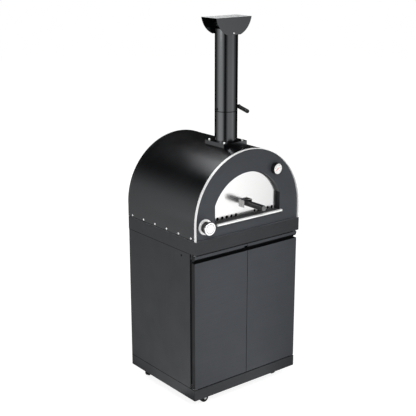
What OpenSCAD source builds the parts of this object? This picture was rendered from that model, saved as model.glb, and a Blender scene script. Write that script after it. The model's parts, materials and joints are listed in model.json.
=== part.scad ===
// Outdoor pizza oven on a two-door cabinet with casters.
// Millimetres, +Z up. The front faces -Y. The origin is on the floor, under the middle
// of the whole object's box.

/* [Cabinet] */
// Width of the cabinet over its side panels
cabinet_w = 700; // [680:1:701]
// Depth of the cabinet from its door fronts to its back
cabinet_d = 576; // [560:1:660]
// Height of the plinth
plinth_h = 58.5; // [45:0.5:90]
// Height of the carcass between the plinth and the oven base
carcass_h = 742.5; // [600:0.5:900]
// Thickness of the folded sheet
sheet_t = 2; // [1.5:0.1:2.5]
// Width of the folded flanges
flange_w = 25; // [20:1:30]
// Height of the shelf over the cabinet floor
shelf_h = 380; // [200:1:480]

/* [Cabinet doors] */
// Thickness of a door
door_t = 24; // [24:0.5:28]
// Free depth between a door's back and the carcass
door_back_gap = 9.5; // [8:0.5:14]
// Gap between the two doors
door_seam = 3; // [2:0.5:6]
// Gap under the doors
door_gap = 5.5; // [5:0.1:8]
// Gap over the doors
door_top_gap = 9.5; // [7:0.1:10]
// Inset of a door's outer edge from the side panel's face
door_inset = 3; // [1:0.5:5]
// Height of the flat lip over the finger pull
lip_h = 7; // [5:0.5:12]
// Height of the finger pull's mouth
pull_h = 30; // [26:0.5:40]
// Radius of the hinge pins
pin_r = 4; // [3:0.1:5]
// Running clearance of pins, stems and shafts on the radius
pin_clearance = 0.05; // [0.03:0.01:0.08]

/* [Casters] */
// Free height under the plinth
ride_h = 60; // [58:1:66]
// Height of a caster from the floor to the top of its plate
caster_h = 70; // [68:1:76]
// Radius of a caster wheel
wheel_r = 25; // [22:0.5:26]
// Width of a caster wheel
wheel_w = 20; // [16:0.5:22]
// Inset of the caster pivots from the sides of the plinth
caster_side_inset = 84; // [72:1:100]
// Inset of the caster pivots from the front and the back of the plinth
caster_end_inset = 64; // [63:1:88]
// Trail of a wheel behind its pivot
caster_trail = 25; // [22:0.5:26]

/* [Oven body] */
// Height of the oven base
base_h = 69.5; // [60:0.5:90]
// Overhang of the oven base past each side panel
base_overhang = 1.7; // [1:0.1:10]
// Reach of the oven base in front of the doors
base_lip = 10.8; // [6:0.1:18]
// Inset of the barrel hood from each side of the oven base
hood_inset = 4.7; // [2.7:0.1:7.7]
// Height of the hood's straight sides
hood_side_h = 77.5; // [70:0.5:90]
// Depth of the front trim band
trim_d = 14; // [13.5:0.5:20]
// Depth of the back trim band
back_trim_d = 14; // [10:0.5:18]
// Thickness of the trim bands
trim_t = 2.7; // [2:0.1:3.5]
// Setback of the front plate inside its trim band
fascia_setback = 9.8; // [7:0.1:10]

/* [Oven mouth] */
// Width of the front plate from the hood's side to the mouth
cheek_w = 129; // [127:1:142]
// Difference between the radius of the hood and that of the mouth's arch
mouth_rim = 108.5; // [105:0.5:115]
// Height of the hearth over the oven base
hearth_h = 65.5; // [60:0.5:75]
// Depth of the jamb behind the front plate
jamb_d = 50; // [50:1:60]
// Thickness of the jamb and the ledge
jamb_t = 3; // [2:0.5:4]
// Height of the sill bar
sill_h = 11; // [9:0.5:12]
// Depth of the sill bar
sill_d = 15.2; // [12:0.1:20]

/* [Oven chamber] */
// Inset of the chamber from the side of the hood
chamber_inset = 85; // [83:1:91]
// Thickness of the chamber walls
chamber_t = 3; // [2:0.5:4]
// Thickness of the hearth tiles
tile_t = 30; // [20:1:34]
// Joint between hearth tiles
tile_joint = 1; // [0.5:0.1:2]
// Thickness of the insulation blanket
blanket_t = 50; // [30:1:52]
// Radius of the burner tube
burner_r = 12; // [10:0.5:13]

/* [Oven door] */
// Setback of the door behind the front plate
door_setback = 25.5; // [22:0.5:36]
// Clearance between the door and the jamb
mouth_clearance = 5; // [4.5:0.5:7]
// Sideways rest place of the loose door
door_shift = 1.5; // [0:0.5:4]
// Depth of the door's folded pan
pan_d = 12; // [9:0.5:13]
// Radius of the vent holes
vent_r = 8.5; // [6:0.5:10]
// Distance between vent holes, as a share of half the mouth
vent_pitch_share = 0.139; // [0.12:0.001:0.142]
// Distance from the door's middle to its first vent hole, as a share of half the mouth
vent_start_share = 0.29; // [0.24:0.005:0.3]
// Height of the vent holes over the hearth
vent_h = 17; // [14:0.5:20]
// Width of the handle bracket
bracket_w = 54; // [46:1:60]
// Depth of the handle bracket
bracket_d = 22; // [18:1:34]
// Height of the handle bracket
bracket_h = 40; // [38:1:46]
// Height of the handle's axis over the hearth
handle_h = 72; // [64:1:90]
// Length of the handle grip, from the door's plate
grip_l = 145; // [110:1:160]
// Radius of the handle grip
grip_r = 15.5; // [12:0.5:16]

/* [Controls] */
// Inset of the gas knob from the side of the hood
knob_inset = 63; // [59:1:65]
// Height of the gas knob over the hearth
knob_h = 2; // [-2:0.5:6]
// Radius of the gas knob
knob_r = 34; // [30:0.5:36]
// Outer radius of the knob bezel
bezel_r = 40; // [38:0.5:42]
// Reach of the knob in front of the front plate
knob_reach = 45.5; // [42:0.5:54]
// Travel of the knob when it is pushed
knob_travel = 4; // [3:0.5:5]
// Inset of the thermometer from the hood's arch
dial_inset = 63.3; // [60:0.1:66]
// Angle of the thermometer round the hood's arch, up from the right side, in degrees
dial_angle = 50.4; // [48:0.1:53]
// Outer radius of the thermometer
dial_r = 30; // [26:0.5:32]
// Reach of the thermometer in front of the front plate
dial_reach = 25; // [20:0.5:32]

/* [Gas supply] */
// Outer radius of the threaded gas inlet
inlet_r = 6.58; // [6:0.01:7]
// Length of the threaded gas inlet
inlet_l = 12; // [10:0.5:20]
// Height of the gas inlet over the underside of the oven base
inlet_h = 34; // [28:0.5:42]
// Radius of the gas pipe
gas_r = 5; // [4:0.1:6]

/* [Chimney] */
// Distance of the flue in front of the cabinet's middle
flue_offset = 106; // [90:1:115]
// Outer radius of the flue pipe
flue_r = 58.7; // [54:0.1:60]
// Wall of the flue pipe
flue_t = 1.5; // [1:0.1:2]
// Width of the square flue flange
collar_w = 154; // [150:1:170]
// Height of the flue flange over the top of the hood
collar_rise = 14; // [10:0.5:20]
// Height of the lower flue pipe
lower_flue_h = 155; // [130:1:200]
// Height of the upper flue pipe
upper_flue_h = 415; // [300:1:500]
// Height of the rain cap over the flue pipe
cap_rise = 57.5; // [50:0.5:90]
// Radius of the rain cap's rounded plates
cap_r = 115; // [110:1:125]
// Height of the damper's axis over the pipe joint
damper_h = 11.3; // [8:0.5:14]
// Radius of the damper shaft
shaft_r = 6.5; // [4:0.5:7]
// Length of the damper grip
damper_grip_l = 68; // [50:1:80]
// Radius of the damper grip
damper_grip_r = 10.5; // [8:0.5:12]
// Droop of the damper grip at rest, in degrees
damper_droop = 12.5; // [5:0.5:20]

/* [Hidden] */

// Overrun of cuts past the faces they open
over = 1;
// Play between faces of different bodies
seat_gap = 0.3;
// Play between round pieces of one body
seam = 0.1;
// Segments of small, middle and large round shapes
$fn = 48;
small_fn = 24;
large_fn = 128;

// Widths from the middle
side_x = cabinet_w / 2;
web_x = side_x - sheet_t;
base_x = side_x + base_overhang;
hood_r = base_x - hood_inset;
inner_r = hood_r - sheet_t;
trim_r = hood_r + sheet_t / 4;
fascia_r = trim_r - trim_t - seam;
mouth_half_w = hood_r - cheek_w;
mouth_r = hood_r - mouth_rim;
chamber_half_w = hood_r - chamber_inset;

// Levels from the floor up
plinth_top_z = ride_h + plinth_h;
floor_top_z = plinth_top_z + sheet_t;
base_z = plinth_top_z + carcass_h;
hood_z = base_z + base_h;
hearth_z = hood_z + hearth_h;
arch_z = hood_z + hood_side_h;
hood_top_z = arch_z + hood_r;
collar_z = hood_top_z + collar_rise;
joint_z = collar_z + lower_flue_h;
flue_top_z = joint_z + upper_flue_h;
cap_top_z = flue_top_z + cap_rise;

// Depths from front to back, with the middle of the whole reach at zero
nut_h = 4;
front_reach = base_lip - fascia_setback - door_setback + grip_l;
rear_reach = nut_h + inlet_l;
front_y = front_reach - (front_reach + cabinet_d + rear_reach) / 2;
back_y = front_y + cabinet_d;
mid_y = front_y + cabinet_d / 2;
door_back_y = front_y + door_t;
carcass_y = door_back_y + door_back_gap;
trim_y = front_y - base_lip;
hood_front_y = trim_y + trim_d;
fascia_y = trim_y + fascia_setback;
fascia_back_y = fascia_y + sheet_t;
jamb_y = fascia_y + jamb_d;
oven_door_y = fascia_y + door_setback;
back_trim_reach = 7;
hood_back_y = back_y + back_trim_reach - back_trim_d;
flue_y = mid_y - flue_offset;

// Doors
door_x = side_x - door_inset;
door_z = plinth_top_z + door_gap;
door_top_z = base_z - door_top_gap;
lip_z = door_top_z - lip_h;
pull_z = lip_z - pull_h;
pull_r = door_t - sheet_t;
notch_w = 20;
hinge_x = door_x - door_t / 2;
hinge_y = front_y + door_t / 2;
bracket_t = 3;
bracket_half_w = door_inset + door_t * 0.31;
hinge_block_w = door_t;
hinge_pin_l = 18;
hinge_collar_r = 7;
magnet_x = 45;
magnet_w = 40;
tool_hole_r = 3;
tool_hole_drop = 26.3;
slot_h = 6;
slot_pitch = 14;
rail_h = 40;
rim_w = 10;
screw_shank_r = 2.4;
screw_head_r = 4.5;
screw_head_h = 1.8;

// Chamber and hearth
chamber_z = hearth_z - tile_t - chamber_t;
chamber_back_y = hood_back_y - blanket_t - sheet_t;
stove_collar_r = flue_r - flue_t - seat_gap;
spigot_r = flue_r - flue_t - seam;
spigot_l = 30;

// Controls
knob_x = hood_r - knob_inset;
knob_z = hearth_z + knob_h;
dial_x = (hood_r - dial_inset) * cos(dial_angle);
dial_z = arch_z + (hood_r - dial_inset) * sin(dial_angle);
dial_front_y = fascia_y - dial_reach;
dial_recess = 5;
dial_plate_t = 0.8;
glass_t = 1;
dial_plate_y = dial_front_y + dial_recess;
dial_face_r = dial_r - sheet_t;
needle_pin_r = 1;
needle_l = 20;
needle_angle = 212;
stem_r = 4;
probe_r = 3;
bush_r = 9;
knob_front_y = fascia_y - knob_reach;
knob_cap_t = 12;
knob_core_r = knob_r * 0.8;
knob_core_y = fascia_y - knob_travel - sheet_t / 4;
knob_cap_y = knob_front_y + knob_cap_t;
stem_front_y = knob_cap_y - sheet_t;
bezel_t = 8;
burner_z = hearth_z + burner_r;
burner_gap = 9;
burner_x = chamber_half_w - chamber_t - burner_r - burner_gap;
valve_w = 28;
valve_h = 36;
valve_y = fascia_back_y + sheet_t;
valve_back_y = valve_y + valve_h;
arm_y = valve_back_y - valve_w / 2 + sheet_t;
inlet_z = base_z + inlet_h;

// Chimney
damper_z = joint_z + damper_h;
damper_arm_x = flue_r + 2 * (shaft_r + damper_grip_r / 2 + seam);
blade_gap = 1;
blade_r = spigot_r - flue_t - blade_gap;
cap_plate_t = 1.5;
cap_centre_z = cap_top_z + cap_r * 0.178;
cap_overlap = 29;
cap_foot_z = flue_top_z - cap_overlap;
cap_rivet_z = cap_foot_z + 2 * nut_h + over;

// Casters, as side, end and heading of the trail
caster_x = side_x - caster_side_inset;
caster_y = cabinet_d / 2 - caster_end_inset;
casters = [
    [-1, -1, 0],
    [1, -1, 90],
    [-1, 1, 202],
    [1, 1, 170]
];
caster_plate_t = 4;
caster_plate_w = 76;
caster_bolt_x = caster_plate_w * 0.39;
bolt_shank_r = 3;
bolt_head_h = 2.5;
bolt_r = 6;
gusset_t = 3;
race_r = 20;
race_h = 6;
crown_t = 3;
leg_t = 2.5;
leg_gap = 1.5;
kingpin_r = 5;
kingpin_l = 10;
axle_r = 4;
race_z = caster_h - caster_plate_t - race_h;
crown_z = race_z - seat_gap - crown_t;
pedal_pin_r = 2.5;
pedal_x = caster_trail + wheel_r * 0.6;
pedal_z = crown_z - crown_t / 2;
pedal_r = 4.5;
pedal_l = 15;

// A box between two corners
module block(x0, x1, y0, y1, z0, z1) {
    translate([x0, y0, z0])
        cube([x1 - x0, y1 - y0, z1 - z0]);
}

// Rods along the three axes
module rod_x(y, z, x0, x1, r) {
    translate([x0, y, z])
        rotate([0, 90, 0])
            cylinder(h = x1 - x0, r = r);
}

module rod_y(x, z, y0, y1, r) {
    translate([x, y1, z])
        rotate([90, 0, 0])
            cylinder(h = y1 - y0, r = r);
}

module rod_z(x, y, z0, z1, r) {
    translate([x, y, z0])
        cylinder(h = z1 - z0, r = r);
}

// A flat outline in x and z, pulled along y
module pull_y(y0, y1) {
    translate([0, y1, 0])
        rotate([90, 0, 0])
            linear_extrude(y1 - y0)
                children();
}

// A flat outline in y and z, pulled along x
module pull_x(x0, x1) {
    translate([x0, 0, 0])
        rotate([90, 0, 90])
            linear_extrude(x1 - x0)
                children();
}

module rect(x0, x1, z0, z1) {
    translate([x0, z0])
        square([x1 - x0, z1 - z0]);
}

// Straight sides under half a circle
module arch(r, centre_z, foot_z) {
    intersection() {
        translate([0, centre_z])
            circle(r, $fn = large_fn);
        rect(-r - over, r + over, centre_z, centre_z + r + over);
    }
    rect(-r, r, foot_z, centre_z);
}

module hood_outline(r) {
    arch(r, arch_z, hood_z);
}

// The low arch of the mouth and of the door in it, shrunk by inset
module mouth_outline(inset, foot_z) {
    intersection() {
        translate([0, hearth_z])
            circle(mouth_r - inset, $fn = large_fn);
        rect(-mouth_half_w + inset, mouth_half_w - inset, foot_z, hearth_z + mouth_r);
    }
}

// A rectangle with round corners, centred
module soft_rect(w, h, r) {
    square([w - 2 * r, h], center = true);
    square([w, h - 2 * r], center = true);
    for (sx = [-1, 1], sz = [-1, 1])
        translate([sx * (w / 2 - r), sz * (h / 2 - r)])
            circle(r);
}

// Carries its children to the pivot of caster i
module at_caster(i) {
    translate([casters[i][0] * caster_x, mid_y + casters[i][1] * caster_y, 0])
        children();
}

// Rods at the four fixing holes of a caster plate
module caster_bolts(z0, z1, r) {
    for (sx = [-1, 1], sy = [-1, 1])
        rod_z(sx * caster_bolt_x, sy * caster_bolt_x, z0, z1, r);
}

// Cabinet
module plinth() {
    gusset_x = side_x - caster_x + caster_plate_w / 2;
    gusset_y = cabinet_d / 2 - caster_y + caster_plate_w / 2;
    color("#46484b") {
        difference() {
            block(-side_x, side_x, front_y, back_y, ride_h, plinth_top_z);
            block(-web_x, web_x, front_y + sheet_t, back_y - sheet_t, ride_h - over,
                plinth_top_z - sheet_t);
            block(-side_x + flange_w, side_x - flange_w, front_y + flange_w,
                back_y - flange_w, ride_h, plinth_top_z + over);
        }
        for (i = [0:3])
            difference() {
                translate([casters[i][0] * (side_x - gusset_x / 2 - sheet_t / 2),
                    mid_y + casters[i][1] * (cabinet_d / 2 - gusset_y / 2 - sheet_t / 2),
                    caster_h])
                    linear_extrude(gusset_t)
                        square([gusset_x - sheet_t, gusset_y - sheet_t], center = true);
                at_caster(i) {
                    caster_bolts(caster_h - over, caster_h + gusset_t + over, bolt_shank_r + seam);
                    rod_z(0, 0, caster_h - over, caster_h + gusset_t + over, race_r / 2);
                }
            }
    }
}

module cabinet_floor() {
    color("#3c3e41")
        block(-web_x, web_x, carcass_y, back_y - sheet_t, plinth_top_z, floor_top_z);
}

// Side panel with a folded flange at the front and at the back, for the left side
module side_panel() {
    difference() {
        union() {
            block(-side_x, -web_x, carcass_y, back_y, plinth_top_z, base_z);
            block(-side_x, -side_x + flange_w, carcass_y, carcass_y + sheet_t, floor_top_z, base_z);
            block(-side_x, -side_x + flange_w, back_y - sheet_t, back_y, plinth_top_z, base_z);
        }
        rod_x(front_y + cabinet_d * 0.184, base_z - tool_hole_drop, -side_x - over,
            -web_x + over, tool_hole_r);
    }
}

module left_side_panel() {
    color("#434548")
        side_panel();
}

module right_side_panel() {
    color("#434548")
        mirror([1, 0, 0])
            side_panel();
}

module back_panel() {
    slot_w = cabinet_w * 0.17;
    color("#3c3e41")
        difference() {
            block(-web_x, web_x, back_y - 2 * sheet_t, back_y - sheet_t, floor_top_z, base_z);
            for (level = [0.16, 0.84], row = [-2:2], side = [-1, 0, 1])
                translate([side * cabinet_w * 0.24, back_y - sheet_t + over,
                    floor_top_z + (base_z - floor_top_z) * level + row * slot_pitch])
                    rotate([90, 0, 0])
                        linear_extrude(sheet_t + 2 * over)
                            soft_rect(slot_w, slot_h, slot_h * 0.49);
        }
}

// Rails under the oven base, at the front and at the back of the carcass
module top_frame() {
    rail_front_y = carcass_y + sheet_t;
    rail_back_y = back_y - 2 * sheet_t;
    color("#3c3e41") {
        block(-web_x, web_x, rail_front_y, rail_front_y + sheet_t, base_z - rail_h, base_z);
        block(-web_x, web_x, rail_front_y, rail_front_y + flange_w, base_z - sheet_t, base_z);
        block(-web_x, web_x, rail_back_y - sheet_t, rail_back_y, base_z - rail_h, base_z);
        block(-web_x, web_x, rail_back_y - flange_w, rail_back_y, base_z - sheet_t, base_z);
    }
}

module shelf() {
    shelf_top_z = floor_top_z + shelf_h;
    shelf_front_y = carcass_y + flange_w;
    shelf_back_y = back_y - 2 * sheet_t;
    color("#3c3e41")
        difference() {
            block(-web_x, web_x, shelf_front_y, shelf_back_y, shelf_top_z - flange_w, shelf_top_z);
            block(-web_x + sheet_t, web_x - sheet_t, shelf_front_y + sheet_t, shelf_back_y - sheet_t,
                shelf_top_z - flange_w - over, shelf_top_z - sheet_t);
        }
}

// Angle brackets with pins for the doors, two on each side
module hinge_brackets() {
    color("silver")
        for (side = [-1, 1], top = [0, 1])
            translate([side * hinge_x, 0, top == 1 ? base_z : plinth_top_z])
                mirror([0, 0, top]) {
                    gap = top == 1 ? door_top_gap : door_gap;
                    block(-bracket_half_w, bracket_half_w, hinge_y - pin_r - bracket_t, carcass_y,
                        0, bracket_t);
                    block(-bracket_half_w, bracket_half_w, carcass_y - bracket_t, carcass_y,
                        0, flange_w + bracket_t);
                    rod_z(0, hinge_y, 0, hinge_pin_l + gap, pin_r);
                    rod_z(0, hinge_y, 0, gap - seat_gap, hinge_collar_r);
                }
}

module magnet_catches() {
    color("#202020")
        for (side = [-1, 1])
            block(side * magnet_x - magnet_w / 2, side * magnet_x + magnet_w / 2,
                door_back_y + seat_gap, carcass_y + flange_w, floor_top_z, floor_top_z + flange_w / 2);
}

// Side outline of a door's folded sheet: front, bottom and finger pull under a rolled lip
module door_sheet_outline() {
    difference() {
        rect(front_y, door_back_y, door_z, door_top_z);
        difference() {
            rect(front_y - over, door_back_y - sheet_t, pull_z, lip_z);
            translate([door_back_y - sheet_t, lip_z])
                circle(pull_r);
        }
        rect(front_y + sheet_t, door_back_y + over, door_z + sheet_t, pull_z - sheet_t);
        intersection() {
            rect(front_y + sheet_t, door_back_y + over, lip_z - pull_r + sheet_t, door_top_z - sheet_t);
            union() {
                translate([door_back_y - sheet_t, lip_z])
                    circle(pull_r - sheet_t);
                rect(front_y + sheet_t, door_back_y + over, lip_z, door_top_z - sheet_t);
                rect(door_back_y - sheet_t, door_back_y + over, lip_z - pull_r + sheet_t, door_top_z);
            }
        }
    }
}

// The whole of the door's section, for its solid hinge blocks
module door_solid_outline() {
    difference() {
        rect(front_y, door_back_y, door_z, door_top_z);
        difference() {
            rect(front_y - over, door_back_y - sheet_t, pull_z, lip_z);
            translate([door_back_y - sheet_t, lip_z])
                circle(pull_r);
        }
    }
}

// Right door; the left one is its mirror image
module door_panel() {
    difference() {
        union() {
            pull_x(door_seam / 2, door_x)
                door_sheet_outline();
            block(door_seam / 2, door_seam / 2 + sheet_t, front_y, door_back_y, door_z, pull_z);
            block(door_x - sheet_t, door_x, front_y, door_back_y, door_z, pull_z);
            intersection() {
                pull_x(door_x - hinge_block_w, door_x)
                    door_solid_outline();
                union() {
                    block(door_x - hinge_block_w, door_x, front_y, door_back_y, door_z,
                        door_z + hinge_block_w);
                    block(door_x - hinge_block_w, door_x, front_y, door_back_y, lip_z - pull_r,
                        door_top_z);
                }
            }
        }
        rod_z(hinge_x, hinge_y, door_z - over, door_z + hinge_pin_l + over, pin_r + pin_clearance);
        rod_z(hinge_x, hinge_y, door_top_z - hinge_pin_l - over, door_top_z + over,
            pin_r + pin_clearance);
    }
}

module door_liner() {
    difference() {
        block(door_seam / 2 + sheet_t, door_x - sheet_t, door_back_y - sheet_t, door_back_y,
            door_z + sheet_t, pull_z - sheet_t);
        block(door_x - hinge_block_w, door_x, front_y, door_back_y + over, door_z,
            door_z + hinge_block_w);
    }
}

// The left door has a notch in its rolled lip, at the seam
module left_door_panel() {
    color("#4d4f52")
        difference() {
            mirror([1, 0, 0])
                door_panel();
            block(-door_seam / 2 - notch_w, over, front_y - over, door_back_y - 2 * sheet_t,
                lip_z - pull_r, lip_z - sheet_t);
        }
}

module left_door_liner() {
    color("#3c3e41")
        mirror([1, 0, 0])
            door_liner();
}

module right_door_panel() {
    color("#4d4f52")
        door_panel();
}

module right_door_liner() {
    color("#3c3e41")
        door_liner();
}

// Casters
module caster_plates() {
    color("silver")
        for (i = [0:3])
            at_caster(i)
                difference() {
                    union() {
                        translate([0, 0, caster_h - caster_plate_t])
                            linear_extrude(caster_plate_t)
                                soft_rect(caster_plate_w, caster_plate_w, kingpin_r);
                        rod_z(0, 0, race_z, caster_h - sheet_t, race_r);
                        caster_bolts(caster_h - caster_plate_t - bolt_head_h, caster_h,
                            bolt_shank_r + sheet_t);
                        caster_bolts(caster_h - over, caster_h + gusset_t + nut_h, bolt_shank_r);
                        caster_bolts(caster_h + gusset_t, caster_h + gusset_t + bolt_head_h,
                            bolt_shank_r + sheet_t);
                    }
                    rod_z(0, 0, race_z - over, caster_h + over, kingpin_r + pin_clearance);
                }
}

// Swivelling fork with its kingpin and axle, trailing towards +X before it is turned
module caster_fork(i, braked) {
    leg_y = wheel_w / 2 + leg_gap;
    crown_w = leg_y + leg_t;
    crown_end_x = braked ? pedal_x - pedal_r - seat_gap : caster_trail + axle_r * 3;
    at_caster(i)
        rotate(casters[i][2])
            color("silver") {
                rod_z(0, 0, crown_z, crown_z + crown_t, race_r);
                rod_z(0, 0, crown_z, race_z + kingpin_l, kingpin_r);
                block(0, crown_end_x, -crown_w, crown_w, crown_z, crown_z + crown_t);
                for (side = [-1, 1]) {
                    pull_y(min(side * leg_y, side * crown_w), max(side * leg_y, side * crown_w)) {
                        polygon([
                            [axle_r * 1.5, crown_z + crown_t / 2],
                            [crown_end_x, crown_z + crown_t / 2],
                            [caster_trail + axle_r * 2, wheel_r],
                            [caster_trail - axle_r * 2, wheel_r]
                        ]);
                        translate([caster_trail, wheel_r])
                            circle(axle_r * 2);
                        if (braked)
                            polygon([
                                [crown_end_x - pedal_r, crown_z],
                                [crown_end_x - pedal_r, crown_z + crown_t],
                                [pedal_x + pedal_r, crown_z + crown_t],
                                [pedal_x + pedal_r, pedal_z - pedal_r],
                                [pedal_x - pedal_r, pedal_z - pedal_r]
                            ]);
                    }
                    pull_y(min(side * crown_w, side * (crown_w + nut_h / 2)) - seam / 2,
                        max(side * crown_w, side * (crown_w + nut_h / 2)) + seam / 2)
                        translate([caster_trail, wheel_r])
                            circle(axle_r * 1.6);
                }
                rod_y(caster_trail, wheel_r, -crown_w, crown_w, axle_r);
                if (braked)
                    rod_y(pedal_x, pedal_z, -crown_w, crown_w, pedal_pin_r);
            }
}

// Half section of a wheel: round tread, thinner web and hub
module wheel_half_outline() {
    half_w = wheel_w / 2;
    tread_r = half_w * 0.35;
    bore_r = axle_r + pin_clearance;
    rect(bore_r, wheel_r - tread_r, -half_w * 0.6, half_w * 0.6);
    rect(bore_r, bore_r + axle_r, -half_w - leg_gap + seat_gap, half_w + leg_gap - seat_gap);
    rect(wheel_r * 0.72, wheel_r - tread_r, -half_w, half_w);
    rect(wheel_r - 2 * tread_r, wheel_r, -half_w + tread_r, half_w - tread_r);
    for (side = [-1, 1])
        translate([wheel_r - tread_r, side * (half_w - tread_r)])
            circle(tread_r);
}

module wheel(i) {
    at_caster(i)
        rotate(casters[i][2])
            translate([caster_trail, 0, wheel_r])
                rotate([90, 0, 0])
                    color("#1c1c1d")
                        rotate_extrude($fn = large_fn)
                            wheel_half_outline();
}

// Foot lever of a braked caster, turning on the pin of its fork
module brake_pedal(i) {
    lever_w = wheel_w / 2 + leg_gap - seat_gap;
    at_caster(i)
        rotate(casters[i][2])
            color("#1c1c1d")
                difference() {
                    union() {
                        rod_y(pedal_x, pedal_z, -lever_w, lever_w, pedal_r);
                        pull_y(-lever_w, lever_w)
                            polygon([
                                [pedal_x, pedal_z - pedal_r / 2],
                                [pedal_x, pedal_z + pedal_r * 0.9],
                                [pedal_x + pedal_l, pedal_z + pedal_r * 0.6],
                                [pedal_x + pedal_l, pedal_z - pedal_r * 0.1]
                            ]);
                    }
                    rod_y(pedal_x, pedal_z, -lever_w - over, lever_w + over,
                        pedal_pin_r + pin_clearance);
                }
}

module front_left_caster_fork() {
    caster_fork(0, true);
}

module front_right_caster_fork() {
    caster_fork(1, true);
}

module rear_left_caster_fork() {
    caster_fork(2, false);
}

module rear_right_caster_fork() {
    caster_fork(3, false);
}

module front_left_wheel() {
    wheel(0);
}

module front_right_wheel() {
    wheel(1);
}

module rear_left_wheel() {
    wheel(2);
}

module rear_right_wheel() {
    wheel(3);
}

module front_left_brake_pedal() {
    brake_pedal(0);
}

module front_right_brake_pedal() {
    brake_pedal(1);
}

// Oven body
module base_pan() {
    color("#434548")
        difference() {
            union() {
                difference() {
                    block(-base_x, base_x, trim_y, back_y, base_z, hood_z);
                    block(-base_x + sheet_t, base_x - sheet_t, trim_y + sheet_t, back_y - sheet_t,
                        base_z + sheet_t, hood_z - sheet_t);
                    block(-base_x + flange_w, base_x - flange_w, trim_y + flange_w,
                        back_y - flange_w, base_z + sheet_t, hood_z + over);
                }
                for (side = [-1, 1])
                    translate([side * (inner_r - sheet_t / 2 - seam), 0, 0])
                        block(-sheet_t / 2, sheet_t / 2, hood_front_y + flange_w / 2,
                            hood_back_y - flange_w / 2, hood_z - sheet_t, hood_z + flange_w);
            }
            rod_y(-knob_x, inlet_z, back_y - flange_w / 2, back_y + over, inlet_r + seam);
            side_screw_rods(inner_r - flange_w / 2, inner_r + over, screw_shank_r + seam);
        }
}

// Rods at the places of the side screws, from x0 to x1 on both sides
module side_screw_rods(x0, x1, r) {
    hood_mid_y = (hood_front_y + hood_back_y) / 2;
    screw_pitch = (hood_back_y - hood_front_y) * 0.181;
    for (side = [0, 1], k = [-2.5:1:2.5])
        mirror([side, 0, 0])
            rod_x(hood_mid_y + k * screw_pitch, hood_z + flange_w / 2, x0, x1, r);
}

module hood() {
    color("#3f4144")
        difference() {
            pull_y(hood_front_y, hood_back_y)
                difference() {
                    hood_outline(hood_r);
                    arch(inner_r, arch_z, hood_z - over);
                }
            rod_z(0, flue_y, arch_z + hood_r / 2, hood_top_z + over, flue_r + sheet_t);
            side_screw_rods(inner_r - over, hood_r + over, screw_shank_r + seam);
        }
}

// Trim band with a flange that the front or back plate is fixed to
module trim_band(y0, y1, flange_y) {
    pull_y(y0, y1)
        difference() {
            hood_outline(trim_r);
            arch(trim_r - trim_t, arch_z, hood_z - over);
        }
    pull_y(flange_y, flange_y + sheet_t)
        difference() {
            hood_outline(trim_r - trim_t / 2);
            arch(trim_r - trim_t - rim_w, arch_z, hood_z - over);
        }
}

module front_trim() {
    color("#d8d8d6")
        trim_band(trim_y, hood_front_y, fascia_back_y);
}

module back_trim() {
    color("#d8d8d6")
        trim_band(hood_back_y, hood_back_y + back_trim_d, hood_back_y);
}

module fascia() {
    color("#505356")
        pull_y(fascia_y, fascia_back_y)
            difference() {
                hood_outline(fascia_r);
                mouth_outline(0, hearth_z - jamb_t);
                translate([-knob_x, knob_z])
                    circle(bush_r + seam);
                translate([dial_x, dial_z])
                    circle(probe_r + seam);
            }
}

module rear_panel() {
    color("#3c3e41")
        pull_y(hood_back_y + sheet_t, hood_back_y + 2 * sheet_t)
            hood_outline(fascia_r);
}

module mouth_jamb() {
    foot_z = hearth_z - jamb_t;
    color("#2a2b2d")
        difference() {
            union() {
                pull_y(fascia_back_y, jamb_y)
                    mouth_outline(-jamb_t, foot_z);
                pull_y(fascia_back_y, fascia_back_y + sheet_t)
                    mouth_outline(-rim_w, foot_z);
            }
            pull_y(fascia_back_y - over, jamb_y + over)
                mouth_outline(0, foot_z - over);
        }
}

module mouth_ledge() {
    color("#4a4a4a")
        block(-mouth_half_w, mouth_half_w, trim_y, jamb_y, hearth_z - jamb_t, hearth_z);
}

module sill_bar() {
    bar_z = hearth_z - jamb_t - over + sill_h / 2;
    bar_y = trim_y - sill_d / 2;
    color("#e8e8e6")
        intersection() {
            translate([-mouth_half_w - sheet_t, bar_y, bar_z])
                rotate([90, 0, 90])
                    linear_extrude(2 * (mouth_half_w + sheet_t))
                        soft_rect(sill_d, sill_h, sill_h * 0.35);
            translate([0, bar_y, bar_z - sill_h])
                linear_extrude(2 * sill_h)
                    soft_rect(2 * mouth_half_w + sheet_t * 1.5, sill_d, sill_d * 0.45);
        }
}

// Chamber
module chamber() {
    shell_back_y = chamber_back_y;
    color("#8a8a88")
        difference() {
            union() {
                pull_y(jamb_y, shell_back_y)
                    arch(chamber_half_w, hearth_z, chamber_z);
                rod_z(0, flue_y, hearth_z + chamber_half_w * 0.9, collar_z + spigot_l,
                    stove_collar_r);
                for (side = [-1, 1])
                    translate([side * chamber_half_w * 0.7, 0, 0]) {
                        block(-bracket_t / 2, bracket_t / 2, jamb_y + flange_w, shell_back_y - flange_w,
                            base_z + sheet_t, chamber_z + over);
                        block(-flange_w / 2, flange_w / 2, jamb_y + flange_w, shell_back_y - flange_w,
                            base_z + sheet_t, base_z + sheet_t + bracket_t);
                        block(-flange_w / 2, flange_w / 2, jamb_y + flange_w, shell_back_y - flange_w,
                            chamber_z - bracket_t, chamber_z + over);
                    }
            }
            pull_y(jamb_y + chamber_t, shell_back_y - chamber_t)
                arch(chamber_half_w - chamber_t, hearth_z, chamber_z + chamber_t);
            pull_y(jamb_y - over, jamb_y + chamber_t + over)
                mouth_outline(0, hearth_z);
            rod_z(0, flue_y, hearth_z + chamber_half_w / 2, collar_z + spigot_l + over,
                stove_collar_r - flue_t);
            rod_y(-burner_x, burner_z, jamb_y - over, jamb_y + chamber_t + over, gas_r + seam);
        }
}

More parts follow.
